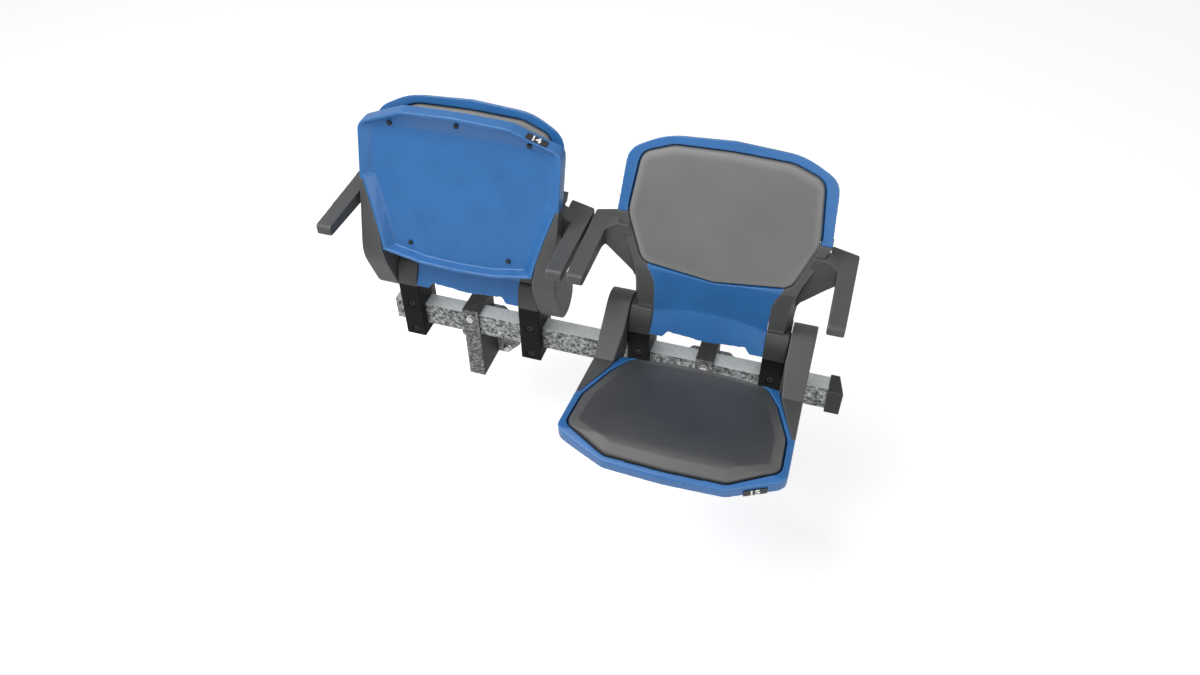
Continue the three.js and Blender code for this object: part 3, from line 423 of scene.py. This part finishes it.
def moulding_finish(name, body_colour, wear_and_highlight_colour, corner_shade_colour, rough_low, rough_high, depth):
    """Moulded plastic: one colour that is a little paler on convex edges, partly wear and partly a painted
    highlight, and darker in corners, a painted shade, with cloudy roughness and a fine grain."""
    material, tree, shader = new_material(name)
    surface = add_node(tree, "ShaderNodeGroup", {"node_tree": grain}, {"Size": 0.0009})
    edge = add_node(tree, "ShaderNodeAttribute", {"attribute_name": "edge"}).outputs["Fac"]
    # Convex edges pale towards one colour, partly wear and partly a painted highlight.
    wear_and_highlight = add_node(tree, "ShaderNodeMapRange",
                    inputs={"Value": edge, "From Min": 0.12, "From Max": 0.75}).outputs[0]
    # Corners darken towards another colour, a painted shade.
    dark = add_node(tree, "ShaderNodeMapRange",
                    inputs={"Value": edge, "From Min": -0.12, "From Max": -0.7}).outputs[0]
    tone = shade_ramp(tree, surface.outputs["Cloud"], [
        (0.3, tuple(0.93 * c for c in body_colour)), (0.7, tuple(min(1.07 * c, 1) for c in body_colour))])
    paler = add_node(tree, "ShaderNodeMix", {"data_type": "RGBA"}, {"Factor": wear_and_highlight})
    tree.links.new(tone, paler.inputs["A"])
    paler.inputs["B"].default_value = (*wear_and_highlight_colour, 1)
    darker = add_node(tree, "ShaderNodeMix", {"data_type": "RGBA"}, {"Factor": dark})
    tree.links.new(paler.outputs["Result"], darker.inputs["A"])
    darker.inputs["B"].default_value = (*corner_shade_colour, 1)
    tree.links.new(darker.outputs["Result"], shader.inputs["Base Color"])
    cloudy_roughness(tree, shader, surface, rough_low, rough_high)
    bump_into(tree, shader, surface.outputs["Height"], 0.3, depth)
    return material


# The paler edge colour is partly wear and partly a painted highlight; the corner colour is painted shade.
black_nylon = moulding_finish("black_nylon", (0.064, 0.065, 0.066), (0.14, 0.14, 0.14), (0.02, 0.02, 0.02),
                              0.42, 0.55, 0.0003)
# The end cap's finish is the black nylon made darker, a painted shade.
cap_shaded_black = moulding_finish("cap_shaded_black", (0.02, 0.02, 0.021), (0.07, 0.07, 0.07), (0.01, 0.01, 0.01),
                            0.42, 0.55, 0.0003)
moulded("beam_end_cap", "section", 0.0012, 4, cap_shaded_black)


# The uprights and rear clamps: ribbed nylon jaws that grip the beam, one pair to each side of a seat, drawn
# together by two cap screws. A parting line crosses each upright below its rounded shoulder.

seat_places = (-0.277, 0.283)
seam_height, seam_width = 0.19, 0.0007
upright_outer = 0.1745  # just past an upright's outer face, from the middle of its seat
lug_share = 6 / 7


def upright_finish():
    """The uprights' nylon: mid black above the parting line, and below it a painted shade that makes it darker
    and less glossy, with a fine groove between.
    """
    material, tree, shader = new_material("upright_nylon")
    place = add_node(tree, "ShaderNodeTexCoord").outputs["Object"]
    height = add_node(tree, "ShaderNodeSeparateXYZ", inputs={"Vector": place}).outputs["Z"]
    above = add_node(tree, "ShaderNodeMapRange", inputs={
        "Value": height, "From Min": seam_height, "From Max": seam_height + seam_width}).outputs[0]
    surface = add_node(tree, "ShaderNodeGroup", {"node_tree": grain}, {"Size": 0.0009})
    cloud = surface.outputs["Cloud"]
    # Painted shade: the nylon below the parting line is made darker, in place of the shade on the uprights' lower
    # part.
    dark = shade_ramp(tree, cloud, [(0.3, (0.005, 0.005, 0.005)), (0.7, (0.009, 0.009, 0.009))])
    mid = shade_ramp(tree, cloud, [(0.3, (0.034, 0.034, 0.034)), (0.7, (0.042, 0.042, 0.042))])
    colour = add_node(tree, "ShaderNodeMix", {"data_type": "RGBA"}, {"Factor": above})
    tree.links.new(dark, colour.inputs["A"])
    tree.links.new(mid, colour.inputs["B"])
    tree.links.new(colour.outputs["Result"], shader.inputs["Base Color"])
    cloudy_roughness(tree, shader, surface, 0.42, 0.55)
    # The painted shade below the parting line also dims the specular level.
    gloss_under_painted_shade = add_node(tree, "ShaderNodeMapRange", inputs={"Value": above, "To Min": 0.1, "To Max": 0.5}).outputs[0]
    tree.links.new(gloss_under_painted_shade, shader.inputs["Specular IOR Level"])
    off_seam = add_node(tree, "ShaderNodeMath", {"operation": "SUBTRACT"}, {0: height, 1: seam_height}).outputs[0]
    away = add_node(tree, "ShaderNodeMath", {"operation": "ABSOLUTE"}, {0: off_seam}).outputs[0]
    groove = add_node(tree, "ShaderNodeMapRange", inputs={
        "Value": away, "From Min": 0.0, "From Max": seam_width, "To Min": -2.0, "To Max": 0.0}).outputs[0]
    relief = add_node(tree, "ShaderNodeMath", {"operation": "ADD"},
                      {0: groove, 1: surface.outputs["Height"]}).outputs[0]
    bump_into(tree, shader, relief, 0.3, 0.0003)
    return material


def trim_lug(points, x):
    """Draws in the stop lug, the part of an upright that reaches past its outer face into the hinge arm's
    slot, towards its own middle by a seventh, so that its eased corners clear the slot at both stops."""
    moved = points.copy()
    lug = np.abs(points[:, 0] - x) > upright_outer
    middle = points[lug, 1:].mean(0)
    moved[lug, 1:] = middle + (points[lug, 1:] - middle) * lug_share
    return moved


upright_nylon = upright_finish()
for n, x in enumerate(seat_places, 1):
    for side in ("right", "left"):
        upright = moulded(f"upright_{n}_{side}", "section", 0.0014, 5, upright_nylon)
        set_points(upright, trim_lug(points_of(upright), x))
        moulded(f"rear_clamp_{n}_{side}", "section", 0.0016, 5, black_nylon)
        for level in ("upper", "lower"):
            ease_edges(dress(f"clamp_bolt_{level}_{n}_{side}", black_steel), bolt_edge)


# The pivots: a steel pin moulded into each upright, with a black acetal bush whose flange spaces the hinge
# arm off the upright and shows as a thin ring.

black_acetal = moulding_finish("black_acetal", (0.035, 0.035, 0.036), (0.1, 0.1, 0.1), (0.02, 0.02, 0.02),
                               0.3, 0.4, 0.0001)
for n in (1, 2):
    for side in ("right", "left"):
        ease_edges(dress(f"pivot_pin_{n}_{side}", zinc_plate), bolt_edge)
        ease_edges(dress(f"pivot_bush_{n}_{side}", black_acetal), 0.0003)


# The side frames: nylon wings that stand on the uprights and hold the back's lower sides, with a flare behind
# where the armrests hook on.

for n in (1, 2):
    for side in ("right", "left"):
        moulded(f"side_frame_{n}_{side}", "section", 0.0013, 6, black_nylon, 0.5)


# The armrests: hollow nylon bars with eased corners, hooked round the side frames and braced by a gusset.

for n in (1, 2):
    for side in ("right", "left"):
        moulded(f"armrest_{n}_{side}", "section", 0.0014, 8, black_nylon, 0.5)


# The back shells: blue polypropylene trays with a thick rounded rim, a recess for the pad, and a lower panel
# that kicks forward below an arched fold.

beam_front, beam_top = -0.0965, 0.12
back_foot, back_fold, back_bend, back_top = 0.073, 0.14, 0.234, 0.5095
back_toe, bend_depth, recline = 0.023, 0.004, radians(19.5)
arch_top, arch_fall, arch_reach = 0.148, 0.02, 0.124
release, release_from, release_width = 0.0021, 0.105, 0.015
release_top, release_fade = 0.25, 0.03
# The blue's paler edge colour is mostly a painted highlight on the rim; its darker corner colour is painted shade.
blue_shell = moulding_finish("blue_polypropylene", (0.026, 0.138, 0.375), (0.13, 0.32, 0.6), (0.006, 0.05, 0.19),
                             0.27, 0.36, 0.0002)


def arch_fold(points, x):
    """Bends a back's lower panel along an arch: the fold's height is highest at the middle and falls with
    the square of the distance from it, and each point moves by the difference between the panel's depth
    with the arched fold and its depth with the straight one. The panel's sides are let out by 2.1 mm, up to
    the frames, to make up for what the eased corners took."""
    across = points[:, 0] - x
    height = points[:, 2] - beam_top
    arched = arch_top - arch_fall * (across / arch_reach) ** 2

    def depth(fold):
        below = -back_toe * (fold - height) / (fold - back_foot)
        above = bend_depth * (height - fold) / (back_bend - fold)
        return np.where(height < fold, below, above)

    shift = np.where(height < back_bend, depth(arched) - depth(back_fold), 0)
    moved = points.copy()
    moved[:, 1] += shift
    outwards = np.clip((np.abs(across) - release_from) / release_width, 0, 1)
    side = outwards * np.clip((release_top - height) / release_fade, 0, 1)
    moved[:, 0] += np.sign(across) * release * side
    return moved


for n, x in enumerate(seat_places, 1):
    shell = moulded(f"back_shell_{n}", "section", 0.0013, 10, blue_shell, 0.3, 0.0004)
    set_points(shell, arch_fold(points_of(shell), x))


# The back pads: foam under mid-grey coated fabric, let into the back's recess. The cover turns over the edge
# in a soft roll and the face is almost flat.

back_pad_corners = np.array([[0, 0, 0], [0.787, 0.065, 0.16], [1, 0.44, 0.3], [0.925, 0.9, 0.16],
                             [0.6, 0.985, 0.3], [0, 1, 0]])


def outline_of(corners, half_width, low, length):
    """A pad's outline, 480 points at even steps of arc: its corners are shares of the half width and of the
    length, and a corner with a radius is a quadratic curve between two points as far from it as the radius
    times the tangent of half the turn, but at most halfway to the next corner."""
    right = corners * [half_width, length, half_width] + [0, low, 0]
    left = right[(corners[:, 0] > 0)][::-1] * [-1, 1, 1]
    loop = np.concatenate([right, left])
    before = np.roll(loop, 1, axis=0)[:, :2] - loop[:, :2]
    after = np.roll(loop, -1, axis=0)[:, :2] - loop[:, :2]
    far_before = np.linalg.norm(before, axis=1, keepdims=True)
    far_after = np.linalg.norm(after, axis=1, keepdims=True)
    turn = np.pi - np.arccos(np.clip((before * after).sum(1, keepdims=True) / (far_before * far_after), -1, 1))
    reach = np.minimum(loop[:, 2:] * np.tan(turn / 2), np.minimum(far_before, far_after) / 2)
    start = loop[:, :2] + before / far_before * reach
    end = loop[:, :2] + after / far_after * reach
    t = np.linspace(0, 1, 12)[None, :, None]
    curve = (1 - t) ** 2 * start[:, None] + 2 * t * (1 - t) * loop[:, None, :2] + t ** 2 * end[:, None]
    path = curve.reshape(-1, 2)
    closed = np.concatenate([path, path[:1]])
    run = np.concatenate([[0], np.cumsum(np.linalg.norm(np.diff(closed, axis=0), axis=1))])
    steps = np.linspace(0, run[-1], 480, endpoint=False)
    return np.stack([np.interp(steps, run, closed[:, k]) for k in (0, 1)], axis=-1)


def inset_rings(outline, insets, shares):
    """Rings inside an outline: first moved in along its normals by each inset, then the last of those
    scaled towards its middle by each share. The normals are smoothed over 25 points so corners stay open."""
    along = np.roll(outline, -1, axis=0) - np.roll(outline, 1, axis=0)
    turn = np.sign((outline[:, 0] * along[:, 1] - outline[:, 1] * along[:, 0]).sum())
    normal = np.stack([along[:, 1], -along[:, 0]], axis=-1) * turn
    window = np.hanning(27)[1:-1] / np.hanning(27).sum()
    around = np.concatenate([normal[-12:], normal, normal[:12]])
    smooth = np.stack([np.convolve(around[:, k], window, "valid") for k in (0, 1)], axis=-1)
    smooth /= np.linalg.norm(smooth, axis=1, keepdims=True)
    moved = [outline - smooth * inset for inset in insets]
    middle = moved[-1].mean(0)
    return np.array(moved + [middle + (moved[-1] - middle) * share for share in shares])


def grained_leather_group():
    """Coated fabric: small rounded cells with fine creases between them, and a wide cloud of polish."""
    tree, given, out = new_group("coated_fabric", {"Size": 0.0014}, ["Height", "Cloud"])
    place = add_node(tree, "ShaderNodeTexCoord").outputs["Object"]
    density = add_node(tree, "ShaderNodeMath", {"operation": "DIVIDE"}, {0: 1.0, 1: given["Size"]}).outputs[0]
    cells = add_node(tree, "ShaderNodeTexVoronoi", {"feature": "DISTANCE_TO_EDGE"},
                     {"Vector": place, "Scale": density}).outputs["Distance"]
    crease = add_node(tree, "ShaderNodeMapRange",
                      inputs={"Value": cells, "From Min": 0.0, "From Max": 0.22}).outputs[0]
    cloud = add_node(tree, "ShaderNodeTexNoise",
                     inputs={"Vector": place, "Scale": 9.0, "Detail": 5.0, "Roughness": 0.55}).outputs["Fac"]
    tree.links.new(crease, out.inputs["Height"])
    tree.links.new(cloud, out.inputs["Cloud"])
    return tree


leather_grain = grained_leather_group()


def cover_finish(name, dark, light, painted_edge_highlight, rough_low, rough_high, sheen):
    """A pad's cover: a grey that clouds between two tones, paler on the turned edge as a painted highlight,
    with a leather grain.
    """
    material, tree, shader = new_material(name)
    surface = add_node(tree, "ShaderNodeGroup", {"node_tree": leather_grain}, {"Size": 0.0014})
    tone = shade_ramp(tree, surface.outputs["Cloud"], [(0.32, dark), (0.68, light)])
    edge = add_node(tree, "ShaderNodeAttribute", {"attribute_name": "edge"}).outputs["Fac"]
    # The edge attribute mixes in a painted highlight.
    paler = add_node(tree, "ShaderNodeMix", {"data_type": "RGBA"}, {"Factor": edge})
    tree.links.new(tone, paler.inputs["A"])
    paler.inputs["B"].default_value = (*painted_edge_highlight, 1)
    tree.links.new(paler.outputs["Result"], shader.inputs["Base Color"])
    cloudy_roughness(tree, shader, surface, rough_low, rough_high)
    shader.inputs["Sheen Weight"].default_value = sheen
    shader.inputs["Sheen Roughness"].default_value = 0.5
    bump_into(tree, shader, surface.outputs["Height"], 0.22, 0.0003)
    return material


def mark_band(piece, marks):
    """Stores a value for each point of a closed piece's rings, an (R, N) array, in its attribute edge."""
    values = np.concatenate([marks.ravel(), [marks[0].mean(), marks[-1].mean()]]).astype(np.float32)
    piece.data.attributes.new("edge", "FLOAT", "POINT").data.foreach_set("value", values)


def back_depth(height):
    """The depth of the back's front face at a height above the beam: straight runs between its bends."""
    top = bend_depth + np.tan(recline) * (back_top - back_bend)
    return np.interp(height, [back_foot, back_fold, back_bend, back_top], [-back_toe, 0, bend_depth, top])


# The cover's third colour is the painted highlight on the turned edge.
grey_cover = cover_finish("grey_cover", (0.135, 0.135, 0.135), (0.16, 0.16, 0.159), (0.21, 0.21, 0.208),
                          0.5, 0.62, 0.12)
# The pad's section from the underside's edge to its face: inset from the outline, height as a share of the
# thickness, lift over it, and how much painted highlight pales the turned edge
back_section = np.array([
    [0.0050, 0.00, 0.0, 0.0], [0.0016, 0.04, 0.0, 0.0], [0.0004, 0.16, 0.0, 0.0], [0.0000, 0.45, 0.0, 0.1],
    [0.0003, 0.70, 0.0, 0.3], [0.0011, 0.86, 0.0, 0.7], [0.0025, 0.96, 0.0002, 1.0], [0.0045, 1.0, 0.0007, 1.0],
    [0.0070, 1.0, 0.0014, 0.8], [0.0100, 1.0, 0.0021, 0.5], [0.0135, 1.0, 0.0025, 0.2], [0.0180, 1.0, 0.0028, 0.0],
])
face_shares = np.array([0.93, 0.85, 0.74, 0.6, 0.45, 0.3, 0.15, 0.05])
back_pad_half, back_pad_low, back_pad_length = 0.1975, 0.2325, 0.2545
back_pad_floor, back_pad_thick = 0.0084, 0.0104
face_lift, face_crown = 0.0028, 0.0016
for n, x in enumerate(seat_places, 1):
    edge_line = outline_of(back_pad_corners, back_pad_half, back_pad_low, back_pad_length)
    rings = inset_rings(edge_line, back_section[:, 0], face_shares)
    share = np.concatenate([back_section[:, 1], np.ones(len(face_shares))])[:, None]
    lift = np.concatenate([back_section[:, 2], face_lift + face_crown * (1 - face_shares ** 2)])[:, None]
    across, up = rings[..., 0], rings[..., 1]
    ripple = 0.0002 * np.sin(up * 38 + across * 21) * (share > 0.99)
    depth = back_depth(up) + back_pad_floor - share * back_pad_thick - lift + ripple
    solid = np.stack([across + x, depth + beam_front, up + beam_top], axis=-1)[:, ::-1]
    pad = closed_rings(f"back_pad_cover_{n}", solid, grey_cover)
    edge_highlight_band = np.concatenate([back_section[:, 3], np.zeros(len(face_shares))])[:, None]
    mark_band(pad, edge_highlight_band * np.ones_like(across))
    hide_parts(f"back_pad_{n}")
    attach(pad, "section")


def board_finish():
    """Plywood: pale brown veneer with long grain lines."""
    material, tree, shader = new_material("plywood")
    place = add_node(tree, "ShaderNodeTexCoord").outputs["Object"]
    stretched = add_node(tree, "ShaderNodeMapping", inputs={"Vector": place, "Scale": (4.0, 60.0, 60.0)})
    lines = add_node(tree, "ShaderNodeTexNoise",
                     inputs={"Vector": stretched.outputs["Vector"], "Scale": 4.0, "Detail": 6.0})
    tone = shade_ramp(tree, lines.outputs["Fac"], [(0.3, (0.3, 0.19, 0.1)), (0.7, (0.52, 0.38, 0.22))])
    tree.links.new(tone, shader.inputs["Base Color"])
    shader.inputs["Roughness"].default_value = 0.7
    bump_into(tree, shader, lines.outputs["Fac"], 0.2, 0.0003)
    return material


plywood = board_finish()
for n in (1, 2):
    dress(f"back_pad_board_{n}", plywood)
    dress(f"seat_pad_board_{n}", plywood)


# The hinge arms: nylon arms that clip to the seat shell's sides and turn on the pivot bushes. The left seat's
# are seen from beneath, with the shell tipped up.

for n in (1, 2):
    for side in ("right", "left"):
        moulded(f"hinge_arm_{n}_{side}", f"seat_{n}", 0.0014, 8, black_nylon, 0.5)


# The seat shells: blue polypropylene pans with a wide rounded rim, a well for the pad on top and a shallow
# tray beneath.

for n in (1, 2):
    moulded(f"seat_shell_{n}", f"seat_{n}", 0.0014, 12, blue_shell, 0.35, 0.0004)


# The seat pads: foam under dark grey coated fabric, with a sloping band round a raised, lightly crowned
# plateau, dropped into the shell's well.

seat_pad_corners = np.array([[0, 1, 0], [0.565, 0.99, 0.2], [1, 0.848, 0.16], [0.99, 0.542, 0.3],
                             [0.84, 0.229, 0.3], [0.69, 0.047, 0.16], [0.35, 0.008, 0.5], [0, 0, 0]])
pin_depth, pin_height = 0.022, 0.091
tipped = radians(94.5)
seat_rear, seat_depth = 0.055, 0.348
rim_rear, rim_rise = 0.034, 0.06
rim_shares = ([0, 0.508, 0.846, 1], [0, 0.6, 0.965, 0.7])
rear_drop, more_drop = 0.012, 0.008
pad_half, pad_rear, pad_depth = 0.212, 0.057, 0.329
board_top, pad_proud = 0.0077, 0.002
plateau_lift, plateau_crown = 0.0051, 0.0017


def rim_height(y):
    """The height of a seat's rim above the beam at a depth: straight runs between its bends."""
    return rim_rear + rim_rise * np.interp((-y - seat_rear) / seat_depth, *rim_shares)


def pan_under(y):
    """The height of the pan's underside at a depth: it lies deeper below the rim towards the front."""
    return rim_height(y) - rear_drop - more_drop * np.clip((-y - seat_rear) / seat_depth, 0, 1)


def seated(points, n):
    """Points drawn on a lowered seat, from its middle, the beam's front and the beam's top, as they stand in
    the row's frame; the left seat's are first turned about the pivot pins by its tip angle."""
    x, y, z = points[..., 0], points[..., 1], points[..., 2]
    if n == 1:
        dy, dz = y - pin_depth, z - pin_height
        y = pin_depth + dy * np.cos(tipped) + dz * np.sin(tipped)
        z = pin_height - dy * np.sin(tipped) + dz * np.cos(tipped)
    return np.stack([x + seat_places[n - 1], y + beam_front, z + beam_top], axis=-1)


# The cover's third colour is the painted highlight on the turned edge.
dark_cover = cover_finish("dark_cover", (0.03, 0.033, 0.038), (0.039, 0.042, 0.047), (0.105, 0.104, 0.1),
                          0.36, 0.5, 0.1)
# The seat pad's section has the same columns as the back pad's; the last is how much painted highlight pales the
# turned edge.
seat_section = np.array([
    [0.0010, 0.00, 0.0, 0.0], [0.0004, 0.03, 0.0, 0.0], [0.0001, 0.14, 0.0, 0.0], [0.0000, 0.50, 0.0, 0.1],
    [0.0003, 0.80, 0.0, 0.3], [0.0012, 0.91, 0.0, 0.7], [0.0028, 0.98, 0.0003, 1.0], [0.0052, 1.0, 0.0010, 1.0],
    [0.0090, 1.0, 0.0022, 0.9], [0.0140, 1.0, 0.0035, 0.85], [0.0180, 1.0, 0.0045, 0.9],
    [0.0205, 1.0, 0.0050, 0.6], [0.0235, 1.0, 0.0051, 0.1], [0.0280, 1.0, 0.0051, 0.0],
])
for n in (1, 2):
    edge_line = outline_of(seat_pad_corners * [1, -1, 1], pad_half, -pad_rear, pad_depth)
    above = inset_rings(edge_line, seat_section[:, 0], face_shares)
    middle = above[0].mean(0)
    beneath = np.array([middle + (above[0] - middle) * inward for inward in face_shares[::-1]])
    rings = np.concatenate([beneath, above])
    flat = np.zeros(len(face_shares))
    share = np.concatenate([flat, seat_section[:, 1], flat + 1])[:, None]
    crown = plateau_lift + plateau_crown * (1 - face_shares ** 2)
    lift = np.concatenate([flat, seat_section[:, 2], crown])[:, None]
    across, back = rings[..., 0], rings[..., 1]
    base = pan_under(back) + board_top
    top = rim_height(back) + pad_proud
    ripple = 0.00025 * np.sin(back * 31 + across * 17) * np.cos(across * 23) * (share > 0.99)
    height = base + share * (top - base) + lift + ripple
    drawn = seated(np.stack([across, back, height], axis=-1), n)
    pad = closed_rings(f"seat_pad_cover_{n}", drawn[:, ::-1], dark_cover)
    # The painted highlight on the turned edge grows towards the front, and a painted sheen pales the plateau's
    # front.
    forward = np.clip((-back - pad_rear) / pad_depth, 0, 1)
    fade = np.clip((forward - 0.25) / 0.5, 0, 1)
    edge_highlight_band = np.concatenate([flat, seat_section[:, 3], flat])[:, None]
    painted_front_sheen = 0.35 * np.clip((forward - 0.55) / 0.4, 0, 1) ** 2 * (share > 0.99)
    mark_band(pad, np.maximum(edge_highlight_band * (0.15 + 0.7 * fade), painted_front_sheen))
    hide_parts(f"seat_pad_{n}")
    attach(pad, f"seat_{n}")


# The pad screws: five black pan-head screws that hold each seat pad through the shell's tray, with a cross
# recess. Their domed heads cover the plain ones on the solids.

screw_places = np.array([[-0.735, 0.905], [0, 0.967], [0.735, 0.905], [-0.548, 0.11], [0.548, 0.11]])
plain_radius, head_radius, head_height, head_gap = 0.0045, 0.0054, 0.0048, 0.0003
cross_half, cross_reach, cross_depth = 0.0009, 0.0032, 0.0011


def screw_head(name, n, x, y):
    """A pan head: rings whose height falls like a dome's from the middle, pressed in by a cross where the
    smaller of the two distances from the screw's middle lines is under a sixth of the radius."""
    angle = np.linspace(0, 2 * np.pi, 48, endpoint=False)
    radius = head_radius * np.array([0.3, 1.0, 1.0, 0.93, 0.82, 0.7, 0.58, 0.46, 0.34, 0.24, 0.14, 0.05])[:, None]
    drop = head_height * np.array([0, 0, 0.35, 0.6, 0.78, 0.88, 0.94, 0.97, 0.99, 1, 1, 1])[:, None]
    px, py = radius * np.cos(angle), radius * np.sin(angle)
    seat_height = min(pan_under(y - plain_radius), pan_under(y + plain_radius)) - head_gap
    cross = (np.minimum(np.abs(px), np.abs(py)) < cross_half) & (radius < cross_reach)
    depth = drop - cross_depth * cross
    drawn = np.stack([x + px, y + py, seat_height - depth], axis=-1)
    return closed_rings(name, seated(drawn, n)[:, ::-1], black_steel)


for n in (1, 2):
    heads = join_meshes(f"pad_screws_{n}", [
        screw_head(f"pad_screw_{n}_{i}", n, pad_half * w, -(pad_rear + pad_depth * d))
        for i, (w, d) in enumerate(screw_places)])
    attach(heads, f"seat_{n}")


# The number plates: dark laminate on the front right-hand chamfer of each seat, with plain white figures that
# only tell the seats apart.

figure_height, size_per_height = 0.0165, 1.35
plate_face = 0.00085  # from a plate's middle to the figures' middle


def plate_finish(name, colour, roughness):
    """Laminate: one tone with fine scratches in its gloss."""
    material, tree, shader = new_material(name)
    place = add_node(tree, "ShaderNodeTexCoord").outputs["Object"]
    cloud = add_node(tree, "ShaderNodeTexNoise", inputs={"Vector": place, "Scale": 600.0, "Detail": 3.0})
    tone = shade_ramp(tree, cloud.outputs["Fac"], [
        (0.3, tuple(0.9 * c for c in colour)), (0.7, colour)])
    tree.links.new(tone, shader.inputs["Base Color"])
    shader.inputs["Roughness"].default_value = roughness
    bump_into(tree, shader, cloud.outputs["Fac"], 0.1, 0.0001)
    return material


laminate = plate_finish("dark_laminate", (0.014, 0.014, 0.015), 0.4)
figure_white = plate_finish("figure_white", (0.85, 0.85, 0.85), 0.5)


def plate_axes():
    """The right seat's plate as its middle and its three directions, from the spread of its own corners:
    longest, middle and shortest, turned so that the second points up and the third out, towards -Y."""
    corners = points_of(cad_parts["number_plate_2"])
    middle = (corners.min(0) + corners.max(0)) / 2
    unique = np.unique(np.round(corners, 6), axis=0)
    run, rise, out = np.linalg.svd(unique - unique.mean(0))[2]
    out = out * -np.sign(out[1])
    rise = rise * np.sign(rise[2])
    return middle, np.cross(rise, out), rise, out


def plate_figures(text, n):
    """The plate's figures as a mesh: drawn flat, centred, then set on the plate's face and, for the left
    seat, moved one pitch along the beam and turned about the pins."""
    curve = bpy.data.curves.new(f"figures_{n}", "FONT")
    curve.body = text
    curve.size = figure_height * size_per_height
    curve.align_x, curve.align_y = "CENTER", "CENTER"
    curve.extrude = 0.0001
    curve.offset = 0.0007
    drawn = bpy.data.objects.new(f"figures_{n}_drawn", curve)
    bpy.context.scene.collection.objects.link(drawn)
    mesh = bpy.data.meshes.new_from_object(drawn.evaluated_get(bpy.context.evaluated_depsgraph_get()))
    bpy.data.objects.remove(drawn)
    piece = bpy.data.objects.new(f"plate_figures_{n}", mesh)
    bpy.context.scene.collection.objects.link(piece)
    flat = points_of(piece)
    flat[:, :2] -= (flat[:, :2].min(0) + flat[:, :2].max(0)) / 2
    middle, run, rise, out = plate_axes()
    on_plate = middle + flat[:, :1] * run + flat[:, 1:2] * rise + (flat[:, 2:] + plate_face) * out
    from_seat = on_plate - [seat_places[1], beam_front, beam_top]
    set_points(piece, seated(from_seat, n))
    mesh.materials.clear()
    mesh.materials.append(figure_white)
    return piece


for n, text in ((1, "14"), (2, "15")):
    dress(f"number_plate_{n}", laminate)
    figures = plate_figures(text, n)
    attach(figures, f"seat_{n}")


# The floor, the light and the camera: a plain white floor under the section, a white surround, one broad soft
# lamp overhead to the left and a weaker one in front, and a camera at the photograph's angle.

floor_height, floor_half = -0.3, 9
floor_mesh = bpy.data.meshes.new("floor")
corners = [(a * floor_half, b * floor_half, floor_height) for a, b in ((-1, -1), (1, -1), (1, 1), (-1, 1))]
floor_mesh.from_pydata(corners, [], [(0, 1, 2, 3)])
floor = bpy.data.objects.new("floor", floor_mesh)
bpy.context.scene.collection.objects.link(floor)
floor_white, floor_tree, floor_shader = new_material("floor_white")
floor_shader.inputs["Base Color"].default_value = (0.9, 0.9, 0.9, 1)
floor_shader.inputs["Roughness"].default_value = 0.9
floor_seen = add_node(floor_tree, "ShaderNodeLightPath").outputs["Is Camera Ray"]
floor_glow = add_node(floor_tree, "ShaderNodeMath", {"operation": "MULTIPLY"}, {0: floor_seen, 1: 0.45}).outputs[0]
floor_shader.inputs["Emission Color"].default_value = (1, 1, 1, 1)
floor_tree.links.new(floor_glow, floor_shader.inputs["Emission Strength"])
floor_mesh.materials.append(floor_white)

world = bpy.data.worlds.new("surround")
bpy.context.scene.world = world
world.use_nodes = True
sky = world.node_tree.nodes["Background"]
path = add_node(world.node_tree, "ShaderNodeLightPath").outputs
mirrored = add_node(world.node_tree, "ShaderNodeMath", {"operation": "MULTIPLY"},
                    {0: path["Is Glossy Ray"], 1: 0.4}).outputs[0]
seen = add_node(world.node_tree, "ShaderNodeMath", {"operation": "MAXIMUM"},
                {0: path["Is Camera Ray"], 1: mirrored}).outputs[0]
shown = add_node(world.node_tree, "ShaderNodeMath", {"operation": "MAXIMUM"},
                 {0: seen, 1: path["Is Transmission Ray"]}).outputs[0]
strength = add_node(world.node_tree, "ShaderNodeMapRange",
                    inputs={"Value": shown, "To Min": 0.45, "To Max": 1.0}).outputs[0]
sky.inputs["Color"].default_value = (1, 1, 1, 1)
world.node_tree.links.new(strength, sky.inputs["Strength"])

for name, place, turn, size, power in (
        ("lamp_above", (-1.1, -1.0, 2.6), (radians(24), radians(-24), 0), 2.2, 58),
        ("lamp_front", (1.2, -2.6, 1.3), (radians(62), 0, radians(24)), 1.8, 20)):
    light = bpy.data.lights.new(name, "AREA")
    light.shape = "DISK"
    light.size = size
    light.energy = power
    lamp = bpy.data.objects.new(name, light)
    lamp.location = place
    lamp.rotation_euler = turn
    bpy.context.scene.collection.objects.link(lamp)

eye = bpy.data.cameras.new("photo_camera")
eye.sensor_fit = "HORIZONTAL"
eye.sensor_width = 36
eye.lens = 27.62
camera = bpy.data.objects.new("photo_camera", eye)
camera.location = (0.49387, -1.57118, 1.57376)
camera.rotation_euler = (radians(90 - 43.07), 0, radians(17.2))
bpy.context.scene.collection.objects.link(camera)
bpy.context.scene.camera = camera
bpy.context.scene.view_settings.view_transform = "Standard"
